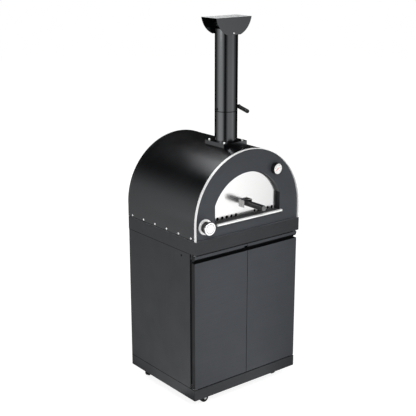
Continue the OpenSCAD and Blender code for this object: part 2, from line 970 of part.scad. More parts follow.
module insulation_blanket() {
    color("#d9d6cc")
        difference() {
            pull_y(jamb_y, chamber_back_y + blanket_t)
                arch(chamber_half_w + blanket_t, hearth_z, chamber_z);
            pull_y(jamb_y - over, chamber_back_y)
                arch(chamber_half_w, hearth_z, chamber_z - over);
            rod_z(0, flue_y, hearth_z + chamber_half_w / 2, arch_z + hood_r, stove_collar_r + seam);
        }
}

module hearth_tiles() {
    tile_area_w = 2 * (chamber_half_w - chamber_t);
    tile_area_y0 = jamb_y + chamber_t;
    tile_area_l = chamber_back_y - chamber_t - tile_area_y0;
    tile_w = (tile_area_w - 4 * tile_joint) / 3;
    tile_l = (tile_area_l - 4 * tile_joint) / 3;
    color("#c9b79a")
        for (col = [0:2], row = [0:2])
            translate([-tile_area_w / 2 + tile_joint + col * (tile_w + tile_joint),
                tile_area_y0 + tile_joint + row * (tile_l + tile_joint), chamber_z + chamber_t])
                cube([tile_w, tile_l, tile_t]);
}

module burner_tube() {
    burner_y0 = jamb_y + 2 * flange_w;
    burner_y1 = chamber_back_y - 3 * flange_w;
    ports = 16;
    port_pitch = (burner_y1 - burner_y0 - 2 * burner_r) / ports;
    color("#b5b5b2")
        difference() {
            rod_y(-burner_x, burner_z, burner_y0, burner_y1, burner_r);
            rod_y(-burner_x, burner_z, burner_y0 + flue_t, burner_y1 - flue_t, burner_r - flue_t);
            rod_y(-burner_x, burner_z, burner_y0 - over, burner_y0 + 2 * flue_t, gas_r + seam);
            for (k = [1:ports])
                translate([-burner_x, burner_y0 + burner_r / 2 + k * port_pitch, burner_z])
                    rotate([0, 35, 0])
                        cylinder(h = burner_r + over, r = flue_t, $fn = small_fn);
        }
}

// Valve body behind the front plate, with its bush, outlet arm and gas jet
module gas_valve() {
    color("#c8a04a")
        difference() {
            union() {
                block(-knob_x - valve_w / 2, -knob_x + valve_w / 2, valve_y, valve_back_y,
                    knob_z - valve_w / 2, burner_z + gas_r + sheet_t);
                rod_y(-knob_x, knob_z, fascia_y, valve_y + over, bush_r);
                rod_y(-knob_x, knob_z, fascia_back_y, valve_y + over, bush_r + sheet_t);
                rod_x(arm_y, burner_z, -knob_x, -burner_x, gas_r);
                translate([-burner_x, arm_y, burner_z])
                    sphere(gas_r);
                rod_y(-burner_x, burner_z, arm_y, jamb_y + 2 * flange_w + flue_t / 2, gas_r);
            }
            rod_y(-knob_x, knob_z, fascia_y - over, valve_back_y - bush_r, stem_r + pin_clearance);
            rod_y(-burner_x, burner_z, arm_y, jamb_y + 2 * flange_w + 2 * flue_t, gas_r / 2);
        }
}

// Supply pipe from the threaded inlet at the back to the valve's underside
module gas_pipe() {
    bend_r = gas_r * 3;
    pipe_y = valve_back_y - valve_w / 2;
    color("#b08d57")
        difference() {
            union() {
                rod_y(-knob_x, inlet_z, back_y + nut_h - over, back_y + nut_h + inlet_l, inlet_r);
                rod_y(-knob_x, inlet_z, back_y, back_y + nut_h, inlet_r + nut_h);
                rod_y(-knob_x, inlet_z, back_y - sheet_t - over, back_y + over, inlet_r);
                rod_y(-knob_x, inlet_z, back_y - sheet_t - nut_h, back_y - sheet_t, inlet_r + nut_h);
                rod_y(-knob_x, inlet_z, pipe_y + bend_r, back_y, gas_r);
                translate([-knob_x, pipe_y + bend_r, inlet_z + bend_r])
                    rotate([0, 90, 0])
                        rotate_extrude(angle = 90)
                            translate([bend_r, 0])
                                circle(gas_r);
                rod_z(-knob_x, pipe_y, inlet_z + bend_r, knob_z - valve_w / 2, gas_r);
                rod_z(-knob_x, pipe_y, knob_z - valve_w / 2 - nut_h, knob_z - valve_w / 2,
                    gas_r + sheet_t);
            }
            rod_y(-knob_x, inlet_z, back_y - nut_h, back_y + nut_h + inlet_l + over, gas_r * 0.8);
        }
}

// Controls
module valve_stem() {
    color("#b5b5b2")
        rod_y(-knob_x, knob_z, stem_front_y, valve_back_y - bush_r - over, stem_r);
}

module knob_core() {
    color("#1a1a1b")
        difference() {
            rod_y(-knob_x, knob_z, knob_cap_y, knob_core_y, knob_core_r);
            rod_y(-knob_x, knob_z, knob_cap_y - over, knob_core_y + over, stem_r + pin_clearance);
        }
}

// Turned profile along z, laid down to face -Y at the given place
module turned_y(x, z, y) {
    translate([x, y, z])
        rotate([90, 0, 0])
            rotate_extrude($fn = large_fn)
                children();
}

module knob_cap() {
    edge_r = knob_cap_t * 0.2;
    groove_r = knob_r * 0.72;
    groove_w = sheet_t * 0.8;
    color("#dcdcda")
        difference() {
            turned_y(-knob_x, knob_z, knob_cap_y) {
                rect(0, knob_r - edge_r, 0, knob_cap_t);
                rect(0, knob_r, 0, knob_cap_t - edge_r);
                translate([knob_r - edge_r, knob_cap_t - edge_r])
                    circle(edge_r);
            }
            turned_y(-knob_x, knob_z, knob_cap_y)
                rect(groove_r - groove_w, groove_r, knob_cap_t - groove_w, knob_cap_t + over);
            rod_y(-knob_x, knob_z, stem_front_y - knob_travel - over, knob_cap_y + over,
                stem_r + pin_clearance);
        }
}

module knob_bezel() {
    edge_r = bezel_t * 0.4;
    color("#dcdcda")
        turned_y(-knob_x, knob_z, fascia_y)
            difference() {
                union() {
                    rect(0, bezel_r - edge_r, 0, bezel_t);
                    rect(0, bezel_r, 0, bezel_t - edge_r);
                    translate([bezel_r - edge_r, bezel_t - edge_r])
                        circle(edge_r);
                }
                rect(-over, knob_core_r + flue_t, -over, bezel_t + over);
            }
}

module thermometer_case() {
    color("#1a1a1b")
        difference() {
            union() {
                rod_y(dial_x, dial_z, dial_front_y, fascia_y, dial_r);
                rod_y(dial_x, dial_z, fascia_y - over, jamb_y - sheet_t, probe_r);
                rod_y(dial_x, dial_z, fascia_back_y, fascia_back_y + nut_h, bush_r);
            }
            rod_y(dial_x, dial_z, dial_front_y - over, dial_plate_y, dial_face_r);
            rod_y(dial_x, dial_z, dial_plate_y - over, dial_plate_y + 2 * nut_h,
                needle_pin_r + pin_clearance);
        }
}

module thermometer_dial() {
    color("#f2f2ee")
        difference() {
            rod_y(dial_x, dial_z, dial_plate_y - dial_plate_t, dial_plate_y, dial_face_r - seam);
            rod_y(dial_x, dial_z, dial_plate_y - nut_h, dial_plate_y + over,
                needle_pin_r + pin_clearance);
        }
}

module thermometer_needle() {
    needle_back_y = dial_plate_y - dial_plate_t - seat_gap;
    color("#c41c1c")
        translate([dial_x, needle_back_y, dial_z])
            rotate([90, 0, 0]) {
                cylinder(h = dial_plate_t * 1.25, r = needle_pin_r * 3);
                translate([0, 0, -nut_h])
                    cylinder(h = nut_h + dial_plate_t / 2, r = needle_pin_r);
                rotate(needle_angle)
                    linear_extrude(dial_plate_t)
                        polygon([
                            [-needle_l * 0.35, -needle_pin_r],
                            [needle_l * 0.9, -needle_pin_r * 0.6],
                            [needle_l, 0],
                            [needle_l * 0.9, needle_pin_r * 0.6],
                            [-needle_l * 0.35, needle_pin_r]
                        ]);
            }
}

module thermometer_glass() {
    color([0.85, 0.9, 0.92, 0.35])
        rod_y(dial_x, dial_z, dial_front_y + seat_gap, dial_front_y + seat_gap + glass_t,
            dial_face_r - seam);
}

// Oven door, standing loose on the ledge
module oven_door_outline(inset) {
    translate([door_shift, seat_gap])
        mouth_outline(mouth_clearance + inset, hearth_z + inset);
}

module vent_holes() {
    for (side = [-1, 1], k = [0:4])
        translate([door_shift + side * mouth_half_w * (vent_start_share + k * vent_pitch_share),
            hearth_z + vent_h])
            circle(vent_r);
}

module oven_door_plate() {
    color("#ececea") {
        pull_y(oven_door_y, oven_door_y + sheet_t)
            difference() {
                oven_door_outline(0);
                vent_holes();
                translate([door_shift, hearth_z + handle_h])
                    circle(stem_r + seam);
            }
        pull_y(oven_door_y, oven_door_y + pan_d)
            difference() {
                oven_door_outline(0);
                oven_door_outline(sheet_t);
            }
    }
}

module oven_door_back() {
    color("#9a9a98")
        pull_y(oven_door_y + pan_d - sheet_t, oven_door_y + pan_d)
            difference() {
                oven_door_outline(sheet_t);
                vent_holes();
            }
}

// Folded bracket, open at the front and below, with the bolt that holds the grip
module oven_door_bracket() {
    bracket_y = oven_door_y - bracket_d;
    grip_y = oven_door_y - grip_l;
    bracket_top_z = hearth_z + handle_h + bracket_h * 0.48;
    bracket_foot_z = bracket_top_z - bracket_h;
    color("#9a9a98") {
        difference() {
            block(door_shift - bracket_w / 2, door_shift + bracket_w / 2, bracket_y, oven_door_y,
                bracket_foot_z, bracket_top_z);
            block(door_shift - bracket_w / 2 + sheet_t, door_shift + bracket_w / 2 - sheet_t,
                bracket_y - over, oven_door_y + over, bracket_foot_z - over,
                bracket_top_z - sheet_t);
        }
        rod_y(door_shift, hearth_z + handle_h, grip_y + sheet_t, oven_door_y + sheet_t + nut_h,
            stem_r);
        rod_y(door_shift, hearth_z + handle_h, oven_door_y + sheet_t, oven_door_y + sheet_t + nut_h,
            bush_r);
        rod_y(door_shift, hearth_z + handle_h, grip_y, grip_y + sheet_t, grip_r * 0.9);
    }
}

// Half section of a round grip along z, with a rib at each pitch
module ribbed_outline(l, r, bore_r, ribs) {
    pitch = l / ribs;
    rib_r = pitch * 0.33;
    rect(bore_r, r - rib_r / 2, 0, l);
    for (k = [0:ribs - 1])
        translate([r - rib_r, (k + 0.5) * pitch])
            circle(rib_r, $fn = small_fn);
    rect(bore_r, r, 0, pitch / 4);
}

module oven_door_grip() {
    color("#141415")
        turned_y(door_shift, hearth_z + handle_h, oven_door_y)
            ribbed_outline(grip_l - sheet_t, grip_r, stem_r + seam, 18);
}

module side_screws() {
    color("silver") {
        side_screw_rods(inner_r - flange_w / 4, hood_r + over, screw_shank_r);
        side_screw_rods(hood_r, hood_r + screw_head_h, screw_head_r);
    }
}

// Chimney
module flue_flange() {
    half_w = collar_w / 2;
    color("#46484b")
        difference() {
            block(-half_w, half_w, flue_y - half_w, flue_y + half_w, arch_z + hood_r / 2, collar_z);
            block(-half_w + sheet_t, half_w - sheet_t, flue_y - half_w + sheet_t,
                flue_y + half_w - sheet_t, arch_z, collar_z - sheet_t);
            rod_y(0, arch_z, flue_y - collar_w, flue_y + collar_w, hood_r + seam / 2, $fn = large_fn);
            rod_z(0, flue_y, arch_z, collar_z + over, flue_r + seam);
            flange_bolt_rods(collar_z - nut_h, collar_z + over, bolt_shank_r + seam);
        }
}

module flange_bolt_rods(z0, z1, r) {
    bolt_x = collar_w / 2 * 0.78;
    for (sx = [-1, 1], sy = [-1, 1])
        rod_z(sx * bolt_x, flue_y + sy * bolt_x, z0, z1, r);
}

module flange_bolts() {
    bolt_x = collar_w / 2 * 0.78;
    color("#e8e8e6") {
        flange_bolt_rods(collar_z - sheet_t - nut_h, collar_z + over, bolt_shank_r);
        flange_bolt_rods(collar_z - sheet_t - nut_h, collar_z - sheet_t, bolt_r);
        for (sx = [-1, 1], sy = [-1, 1])
            translate([sx * bolt_x, flue_y + sy * bolt_x, collar_z])
                difference() {
                    sphere(bolt_r);
                    translate([0, 0, -bolt_r])
                        cube(2 * bolt_r, center = true);
                }
    }
}

module lower_flue() {
    color("#5a5c5f")
        difference() {
            rod_z(0, flue_y, collar_z - sheet_t, joint_z, flue_r);
            rod_z(0, flue_y, collar_z - over - sheet_t, joint_z + over, flue_r - flue_t);
        }
}

// Upper pipe with its spigot in the lower one, and holes for the damper shaft
module upper_flue() {
    color("#5a5c5f")
        difference() {
            union() {
                rod_z(0, flue_y, joint_z, flue_top_z, flue_r);
                rod_z(0, flue_y, joint_z - spigot_l, joint_z + over, spigot_r);
            }
            rod_z(0, flue_y, joint_z - spigot_l - over, flue_top_z + over, spigot_r - flue_t);
            rod_x(flue_y, damper_z, -flue_r - over, flue_r + over, shaft_r + pin_clearance);
            rod_y(0, cap_rivet_z, flue_y - flue_r - over, flue_y + flue_r + over,
                bolt_shank_r + seam);
        }
}

// Round blade on its shaft, in line with the grip
module damper_blade() {
    color("#8a8a88")
        translate([0, flue_y, damper_z]) {
            rod_x(0, 0, -flue_r - flue_t, damper_arm_x + damper_grip_r * 0.7, shaft_r);
            rod_x(0, 0, damper_arm_x - damper_grip_r * 0.8, damper_arm_x + damper_grip_r * 0.8,
                shaft_r * 1.5);
            rotate([damper_droop, 0, 0])
                translate([0, 0, -flue_t / 2])
                    cylinder(h = flue_t, r = blade_r);
            rotate([damper_droop, 0, 0])
                rod_y(damper_arm_x, 0, -shaft_r - damper_grip_l, 0, stem_r);
        }
}

module damper_grip() {
    color("#141415")
        translate([0, flue_y, damper_z])
            rotate([damper_droop, 0, 0])
                turned_y(damper_arm_x, 0, -shaft_r * 1.5 - seam)
                    ribbed_outline(damper_grip_l, damper_grip_r, stem_r + seam, 9);
}

// Bent strip over the flue: a flat top and two rounded plates beside the pipe
module rain_cap() {
    plate_x = sqrt(pow(cap_r, 2) - pow(cap_centre_z - cap_top_z, 2));
    color("#4d4f52") {
        block(-plate_x, plate_x, flue_y - flue_r - cap_plate_t, flue_y + flue_r + cap_plate_t,
            cap_top_z - cap_plate_t, cap_top_z);
        for (side = [0, 1])
            pull_y(flue_y + (side == 1 ? flue_r : -flue_r - cap_plate_t),
                flue_y + (side == 1 ? flue_r + cap_plate_t : -flue_r))
                difference() {
                    intersection() {
                        translate([0, cap_centre_z])
                            circle(cap_r, $fn = large_fn);
                        rect(-cap_r, cap_r, cap_foot_z, cap_top_z);
                    }
                    translate([0, cap_rivet_z])
                        circle(bolt_shank_r + seam);
                }
    }
}

module cap_rivets() {
    color("#e8e8e6")
        for (side = [0, 1])
            translate([0, flue_y, cap_rivet_z])
                mirror([0, side, 0]) {
                    rod_y(0, 0, -flue_r - cap_plate_t, -spigot_r, bolt_shank_r);
                    rod_y(0, 0, -flue_r - cap_plate_t - sheet_t, -flue_r - cap_plate_t, bolt_r * 0.8);
                }
}

plinth();
cabinet_floor();
left_side_panel();
right_side_panel();
back_panel();
top_frame();
shelf();
hinge_brackets();
magnet_catches();
left_door_panel();
left_door_liner();
right_door_panel();
right_door_liner();
caster_plates();
front_left_caster_fork();
front_right_caster_fork();
rear_left_caster_fork();
rear_right_caster_fork();
front_left_wheel();
front_right_wheel();
rear_left_wheel();
rear_right_wheel();
front_left_brake_pedal();
front_right_brake_pedal();
base_pan();
hood();
front_trim();
back_trim();
fascia();
rear_panel();
mouth_jamb();
mouth_ledge();
sill_bar();
chamber();
insulation_blanket();
hearth_tiles();
burner_tube();
gas_valve();
gas_pipe();
valve_stem();
knob_core();
knob_cap();
knob_bezel();
thermometer_case();
thermometer_dial();
thermometer_needle();
thermometer_glass();
oven_door_plate();
oven_door_back();
oven_door_bracket();
oven_door_grip();
side_screws();
flue_flange();
flange_bolts();
lower_flue();
upper_flue();
damper_blade();
damper_grip();
rain_cap();
cap_rivets();
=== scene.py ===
import json
import math

import bpy
from mathutils import Matrix, Vector


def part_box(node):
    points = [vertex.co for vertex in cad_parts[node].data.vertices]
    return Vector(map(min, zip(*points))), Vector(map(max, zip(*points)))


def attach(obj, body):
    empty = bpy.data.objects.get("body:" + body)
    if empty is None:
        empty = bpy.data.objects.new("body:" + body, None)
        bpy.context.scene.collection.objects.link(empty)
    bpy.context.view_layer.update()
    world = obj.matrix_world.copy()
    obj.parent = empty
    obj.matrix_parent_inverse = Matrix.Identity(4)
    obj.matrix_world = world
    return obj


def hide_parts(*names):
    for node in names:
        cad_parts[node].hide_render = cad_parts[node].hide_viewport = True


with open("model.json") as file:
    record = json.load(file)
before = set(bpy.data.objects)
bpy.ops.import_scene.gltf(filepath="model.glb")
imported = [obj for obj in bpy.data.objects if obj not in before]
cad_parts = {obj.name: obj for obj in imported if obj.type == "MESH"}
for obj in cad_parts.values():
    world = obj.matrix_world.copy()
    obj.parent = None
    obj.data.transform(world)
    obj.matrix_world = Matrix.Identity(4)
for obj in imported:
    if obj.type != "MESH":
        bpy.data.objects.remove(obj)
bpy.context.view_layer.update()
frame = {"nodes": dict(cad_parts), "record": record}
node = frame["nodes"]

MM = 0.001
body_of = {
    name: body for body, names in frame["record"]["behaviour"]["bodies"].items() for name in names
}


# Selecting and shaping
def deselect():
    for other in list(bpy.context.selected_objects):
        other.select_set(False)


def take(piece):
    deselect()
    piece.select_set(True)
    bpy.context.view_layer.objects.active = piece
    return piece


def apply_modifier(piece, kind, **settings):
    take(piece)
    step = piece.modifiers.new(kind.title(), kind)
    for key, value in settings.items():
        setattr(step, key, value)
    bpy.ops.object.modifier_apply(modifier=step.name)


def select_faces(piece, wanted):
    """Leaves the piece in edit mode, with the wanted faces selected."""
    bpy.ops.object.mode_set(mode="OBJECT")
    for part in (piece.data.vertices, piece.data.edges, piece.data.polygons):
        for item in part:
            item.select = False
    for face in piece.data.polygons:
        face.select = wanted(face)
    bpy.ops.object.mode_set(mode="EDIT")


def select_all(piece):
    """Leaves the piece in edit mode, with all of it selected."""
    take(piece)
    bpy.ops.object.mode_set(mode="EDIT")
    bpy.ops.mesh.select_all(action="SELECT")


def settle(piece, name):
    """Names a new piece, and moves its place, turn and scale into its mesh."""
    take(piece)
    piece.name = name
    bpy.ops.object.transform_apply(location=True, rotation=True, scale=True)
    return piece


def smooth(piece, angle):
    take(piece)
    bpy.ops.object.shade_smooth_by_angle(angle=math.radians(angle))


def repeat(piece, name, shift):
    """Copy of a piece, with its mesh turned and moved."""
    twin = piece.copy()
    twin.data = piece.data.copy()
    twin.name = name
    twin.data.transform(shift)
    bpy.context.scene.collection.objects.link(twin)
    return twin


def paint(piece, finish, wanted):
    """Puts a second finish on some faces of a piece."""
    piece.data.materials.append(finish)
    for face in piece.data.polygons:
        if wanted(face):
            face.material_index = len(piece.data.materials) - 1


def join(pieces, name):
    deselect()
    for piece in pieces:
        piece.select_set(True)
    bpy.context.view_layer.objects.active = pieces[0]
    bpy.ops.object.join()
    pieces[0].name = name
    return pieces[0]


def middle(low, high):
    """Middle of a box."""
    return (low + high) / 2


def aimed(place, direction):
    """Turns what was made along +z to a direction, and moves it to its place."""
    turn = Vector(direction).to_track_quat("Z", "Y").to_matrix().to_4x4()
    return Matrix.Translation(place) @ turn


def mount(piece, body, finish):
    """Gives a new piece its finish and its body."""
    piece.data.materials.clear()
    piece.data.materials.append(finish)
    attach(piece, body)
    return piece


# Building blocks of the finishes. Noise and cells run on Object coordinates.
def new_finish(name, colour, roughness, metallic=0.0, specular=0.5):
    finish = bpy.data.materials.new(name)
    finish.use_nodes = True
    shader = finish.node_tree.nodes["Principled BSDF"]
    shader.inputs["Base Color"].default_value = (*colour, 1)
    shader.inputs["Roughness"].default_value = roughness
    shader.inputs["Metallic"].default_value = metallic
    shader.inputs["Specular IOR Level"].default_value = specular
    return finish


def wire(finish, value, made, socket):
    """Links a socket to another one, or sets it to a plain value."""
    if isinstance(value, bpy.types.NodeSocket):
        finish.node_tree.links.new(value, made.inputs[socket])
    else:
        made.inputs[socket].default_value = value


def add_node(finish, kind, links=(), **settings):
    made = finish.node_tree.nodes.new(kind)
    for key, value in settings.items():
        setattr(made, key, value)
    for socket, value in links:
        wire(finish, value, made, socket)
    return made


def feed(finish, socket, value):
    wire(finish, value, finish.node_tree.nodes["Principled BSDF"], socket)


def noise(finish, scale, stretch=(1, 1, 1), detail=4.0, warp=0.0):
    place = add_node(finish, "ShaderNodeTexCoord").outputs["Object"]
    laid = add_node(finish, "ShaderNodeMapping", [("Vector", place), ("Scale", stretch)])
    return add_node(
        finish,
        "ShaderNodeTexNoise",
        [("Vector", laid.outputs[0]), ("Scale", scale), ("Detail", detail), ("Distortion", warp)],
    ).outputs["Fac"]


def cells(finish, scale):
    place = add_node(finish, "ShaderNodeTexCoord").outputs["Object"]
    links = [("Vector", place), ("Scale", scale)]
    return add_node(finish, "ShaderNodeTexVoronoi", links).outputs["Distance"]


def spread(finish, value, low, high, start=0.3, end=0.7):
    """Stretches a value's range from start to end over low to high, and clamps it there."""
    links = [("Value", value), ("From Min", start), ("From Max", end)]
    links += [("To Min", low), ("To Max", high)]
    return add_node(finish, "ShaderNodeMapRange", links).outputs["Result"]


def reckon(finish, operation, one, other, **settings):
    """Result of one sum on two values, each plain or from another node."""
    settings["operation"] = operation
    return add_node(finish, "ShaderNodeMath", [(0, one), (1, other)], **settings).outputs[0]


def times(finish, one, other):
    return reckon(finish, "MULTIPLY", one, other)


def total(finish, parts):
    """Sum of values, as one socket."""
    answer = parts[0]
    for part in parts[1:]:
        answer = reckon(finish, "ADD", answer, part)
    return answer


def shade(finish, share, dark, light):
    """Mix of two colours, each plain or from another node."""
    mixed = add_node(finish, "ShaderNodeMix", [(0, share)], data_type="RGBA")
    for socket, colour in ((6, dark), (7, light)):
        plain = not isinstance(colour, bpy.types.NodeSocket)
        wire(finish, (*colour, 1) if plain else colour, mixed, socket)
    return mixed.outputs[2]


def relief(finish, height, strength, depth, under=None):
    links = [("Height", height), ("Strength", strength), ("Distance", depth)]
    if under is not None:
        links.append(("Normal", under))
    made = add_node(finish, "ShaderNodeBump", links).outputs["Normal"]
    feed(finish, "Normal", made)
    return made


def scaled(colour, share):
    return tuple(channel * share for channel in colour)


# Kinds of finish
COOL_TINT = (0.93, 0.97, 1.0, 1.0)
COAT_GRAIN = 0.04 * MM
FINE_GRAIN = 0.02 * MM
DRAWN_LINE = 0.03 * MM
STRAW_HEAT = (0.42, 0.34, 0.2)
BLUE_HEAT = (0.16, 0.18, 0.26)
SOOT = (0.03, 0.028, 0.025)
DUST = (0.09, 0.085, 0.08)
GROG = (0.28, 0.2, 0.13)
SCORCH = (0.1, 0.075, 0.055)
GLASS_OPACITY = 0.06


def powder_coat(name, colour, roughness, streak=(1, 1, 1), depth=COAT_GRAIN, specular=0.5):
    """Baked coating: slow change of tone, faint streaks, fine grain and a few dull patches."""
    finish = new_finish(name, colour, roughness, specular=specular)
    shader = finish.node_tree.nodes["Principled BSDF"]
    shader.inputs["Specular Tint"].default_value = COOL_TINT
    slow = spread(finish, noise(finish, 3.2, detail=3.0), 0.0, 1.0)
    lines = spread(finish, noise(finish, 260.0, streak, detail=6.0), 0.0, 1.0)
    tone = shade(finish, slow, scaled(colour, 0.9), scaled(colour, 1.08))
    feed(finish, "Base Color", shade(finish, lines, scaled(colour, 0.86), tone))
    dull = spread(finish, noise(finish, 9.0, detail=5.0), roughness * 0.88, roughness * 1.12)
    feed(finish, "Roughness", dull)
    under = relief(finish, noise(finish, 900.0, detail=2.0), 0.25, depth)
    relief(finish, lines, 0.12, depth, under)
    return finish


def drawn_metal(name, colour, roughness, streak, stain=0.06, metallic=1.0):
    """Bare sheet with drawn lines along one way, and a little uneven polish."""
    finish = new_finish(name, colour, roughness, metallic=metallic)
    lines = spread(finish, noise(finish, 420.0, streak, detail=8.0), 0.0, 1.0, 0.25, 0.75)
    slow = spread(finish, noise(finish, 7.0, detail=4.0), 0.0, 1.0)
    tone = shade(finish, lines, scaled(colour, 1 - stain), colour)
    feed(finish, "Base Color", shade(finish, slow, tone, scaled(colour, 1 - stain / 2)))
    polish = spread(finish, lines, roughness * 0.8, roughness * 1.25, 0.0, 1.0)
    feed(finish, "Roughness", polish)
    relief(finish, lines, 0.08, DRAWN_LINE)
    return finish


def polished_metal(name, colour, roughness):
    """Plated and polished, with faint smears."""
    finish = new_finish(name, colour, roughness, metallic=1.0)
    smear = noise(finish, 55.0, (1, 1, 2.5), detail=5.0, warp=1.5)
    feed(finish, "Roughness", spread(finish, smear, roughness * 0.6, roughness * 1.8))
    slow = spread(finish, noise(finish, 24.0), 0.0, 1.0)
    feed(finish, "Base Color", shade(finish, slow, scaled(colour, 0.95), colour))
    return finish


def zinc_plate(name, colour, roughness):
    """Plated steel with its small crystals."""
    finish = new_finish(name, colour, roughness, metallic=1.0)
    crystals = spread(finish, cells(finish, 380.0), 0.0, 1.0, 0.1, 0.6)
    slow = spread(finish, noise(finish, 30.0), 0.0, 1.0)
    tone = shade(finish, crystals, scaled(colour, 0.85), colour)
    feed(finish, "Base Color", shade(finish, slow, tone, scaled(colour, 0.8)))
    sheen = spread(finish, crystals, roughness * 0.85, roughness * 1.2, 0.0, 1.0)
    feed(finish, "Roughness", sheen)
    return finish


def heated_steel(name, colour, roughness):
    """Oven steel with straw and blue heat colours and some soot."""
    finish = new_finish(name, colour, roughness, metallic=1.0)
    heat = spread(finish, noise(finish, 5.0, detail=5.0, warp=0.8), 0.0, 1.0, 0.4, 0.7)
    tone = shade(finish, heat, STRAW_HEAT, colour)
    blue = spread(finish, noise(finish, 8.0, detail=4.0), 0.0, 0.5, 0.52, 0.75)
    tone = shade(finish, blue, tone, BLUE_HEAT)
    soot = spread(finish, noise(finish, 14.0, detail=8.0), 0.0, 0.75, 0.45, 0.8)
    feed(finish, "Base Color", shade(finish, soot, tone, SOOT))
    feed(finish, "Roughness", spread(finish, soot, roughness, 0.7, 0.0, 0.75))
    relief(finish, noise(finish, 300.0, (0.05, 1, 1), detail=4.0), 0.1, 0.04 * MM)
    return finish


def moulded_plastic(name, colour, roughness):
    """Matte moulding with a fine spark-eroded grain."""
    finish = new_finish(name, colour, roughness, specular=0.4)
    relief(finish, noise(finish, 1400.0, detail=2.0), 0.3, 0.05 * MM)
    slow = spread(finish, noise(finish, 18.0), 0.0, 1.0)
    feed(finish, "Base Color", shade(finish, slow, scaled(colour, 0.8), scaled(colour, 1.2)))
    worn = spread(finish, noise(finish, 40.0), roughness * 0.9, roughness * 1.15)
    feed(finish, "Roughness", worn)
    return finish


def wheel_rubber(name, colour):
    """Hard rubber with dust in its pores."""
    finish = new_finish(name, colour, 0.8, specular=0.3)
    dust = spread(finish, noise(finish, 90.0, detail=8.0), 0.0, 0.6, 0.5, 0.8)
    feed(finish, "Base Color", shade(finish, dust, colour, DUST))
    relief(finish, noise(finish, 700.0, detail=3.0), 0.5, 0.1 * MM)
    return finish


def fired_clay(name, colour):
    """Hearth tile: pores, grog specks and scorched patches."""
    finish = new_finish(name, colour, 0.9, specular=0.2)
    pores = noise(finish, 120.0, detail=9.0)
    tone = shade(finish, spread(finish, pores, 0.0, 1.0), scaled(colour, 0.75), colour)
    specks = spread(finish, cells(finish, 260.0), 1.0, 0.0, 0.05, 0.16)
    tone = shade(finish, specks, tone, GROG)
    scorch = spread(finish, noise(finish, 11.0, detail=5.0), 0.0, 0.7, 0.5, 0.78)
    feed(finish, "Base Color", shade(finish, scorch, tone, SCORCH))
    relief(finish, pores, 0.6, 0.4 * MM)
    return finish


def fibre_felt(name, colour):
    """Insulating blanket of loose fibres."""
    finish = new_finish(name, colour, 1.0, specular=0.1)
    fibres = noise(finish, 240.0, (1, 0.3, 1), detail=9.0, warp=3.0)
    tufts = spread(finish, fibres, 0.0, 1.0)
    feed(finish, "Base Color", shade(finish, tufts, scaled(colour, 0.8), colour))
    relief(finish, fibres, 0.8, 0.8 * MM)
    return finish


def turned_brass(name, colour):
    """Machined brass, slightly tarnished."""
    finish = new_finish(name, colour, 0.3, metallic=1.0)
    tarnish = spread(finish, noise(finish, 60.0, detail=6.0), 0.0, 0.7, 0.4, 0.75)
    feed(finish, "Base Color", shade(finish, tarnish, colour, scaled(colour, 0.55)))
    feed(finish, "Roughness", spread(finish, tarnish, 0.24, 0.45, 0.0, 0.7))
    return finish


def enamel(name, colour, roughness):
    """Printed or painted small part with a slightly uneven film."""
    finish = new_finish(name, colour, roughness)
    film = spread(finish, noise(finish, 160.0, detail=4.0), 0.0, 1.0)
    feed(finish, "Base Color", shade(finish, film, scaled(colour, 0.94), colour))
    gloss = spread(finish, noise(finish, 300.0), roughness * 0.8, roughness * 1.3)
    feed(finish, "Roughness", gloss)
    return finish


def clear_glass(name):
    """Thin flat glass, with a few smears."""
    finish = new_finish(name, (0.98, 0.99, 0.99), 0.02)
    finish.node_tree.nodes["Principled BSDF"].inputs["Alpha"].default_value = GLASS_OPACITY
    feed(finish, "Roughness", spread(finish, noise(finish, 80.0, detail=6.0), 0.0, 0.06))
    return finish


# The finishes of this oven. Streaks run across it, upright or from front to back.
ACROSS = (0.012, 1, 1)
UPRIGHT = (1, 1, 0.012)
DEEP = (1, 0.012, 1)
# One charcoal paint in three copies, as painted light and shade: lightest on the fascia and doors,
# darker on the sides, darkest on the fronts of base and plinth.
CHARCOAL_LIT_FRONT = (0.0368, 0.04, 0.0462)
CHARCOAL_SHADED_SIDE = (0.0272, 0.0284, 0.031)
CHARCOAL_SHADED_BASE = (0.0195, 0.0205, 0.0228)
BLACK = (0.012, 0.0125, 0.0135)

lit_front_coat = powder_coat("front_charcoal_painted_light", CHARCOAL_LIT_FRONT, 0.45, ACROSS, specular=0.35)
shaded_side_coat = powder_coat("side_charcoal_painted_shade", CHARCOAL_SHADED_SIDE, 0.45, UPRIGHT, specular=0.35)
shaded_base_coat = powder_coat("base_charcoal_painted_shade", CHARCOAL_SHADED_BASE, 0.45, ACROSS, specular=0.35)
hood_coat = powder_coat("hood_satin_coat", (0.003, 0.0032, 0.0036), 0.24, DEEP, FINE_GRAIN, 0.9)
chimney_coat = powder_coat(
    "chimney_black_coat", (0.002, 0.0021, 0.0024), 0.14, UPRIGHT, specular=1.0
)
frame_coat = powder_coat("frame_black_coat", BLACK, 0.5, specular=0.2)
inner_coat = powder_coat("inner_sheet_coat", (0.024, 0.025, 0.027), 0.5, ACROSS, specular=0.3)
# Stainless trim, part bare metal and part a near-white base colour that is a painted sheen, so it
# looks white from every side.
trim_steel_with_sheen = drawn_metal("trim_stainless_painted_sheen", (0.98, 0.98, 0.975), 0.42, ACROSS, 0.03, 0.35)
bracket_steel = drawn_metal("bracket_stainless", (0.74, 0.74, 0.735), 0.16, UPRIGHT, 0.25)
# Painted light: a far lighter copy of the base paint for the top of the base's step under the
# hood, where shade falls.
step_light_coat = powder_coat("base_step_painted_light", (0.115, 0.12, 0.13), 0.6, ACROSS, specular=0.3)
cap_steel = drawn_metal("cap_top_steel", (0.78, 0.79, 0.8), 0.5, ACROSS, 0.05, 0.3)
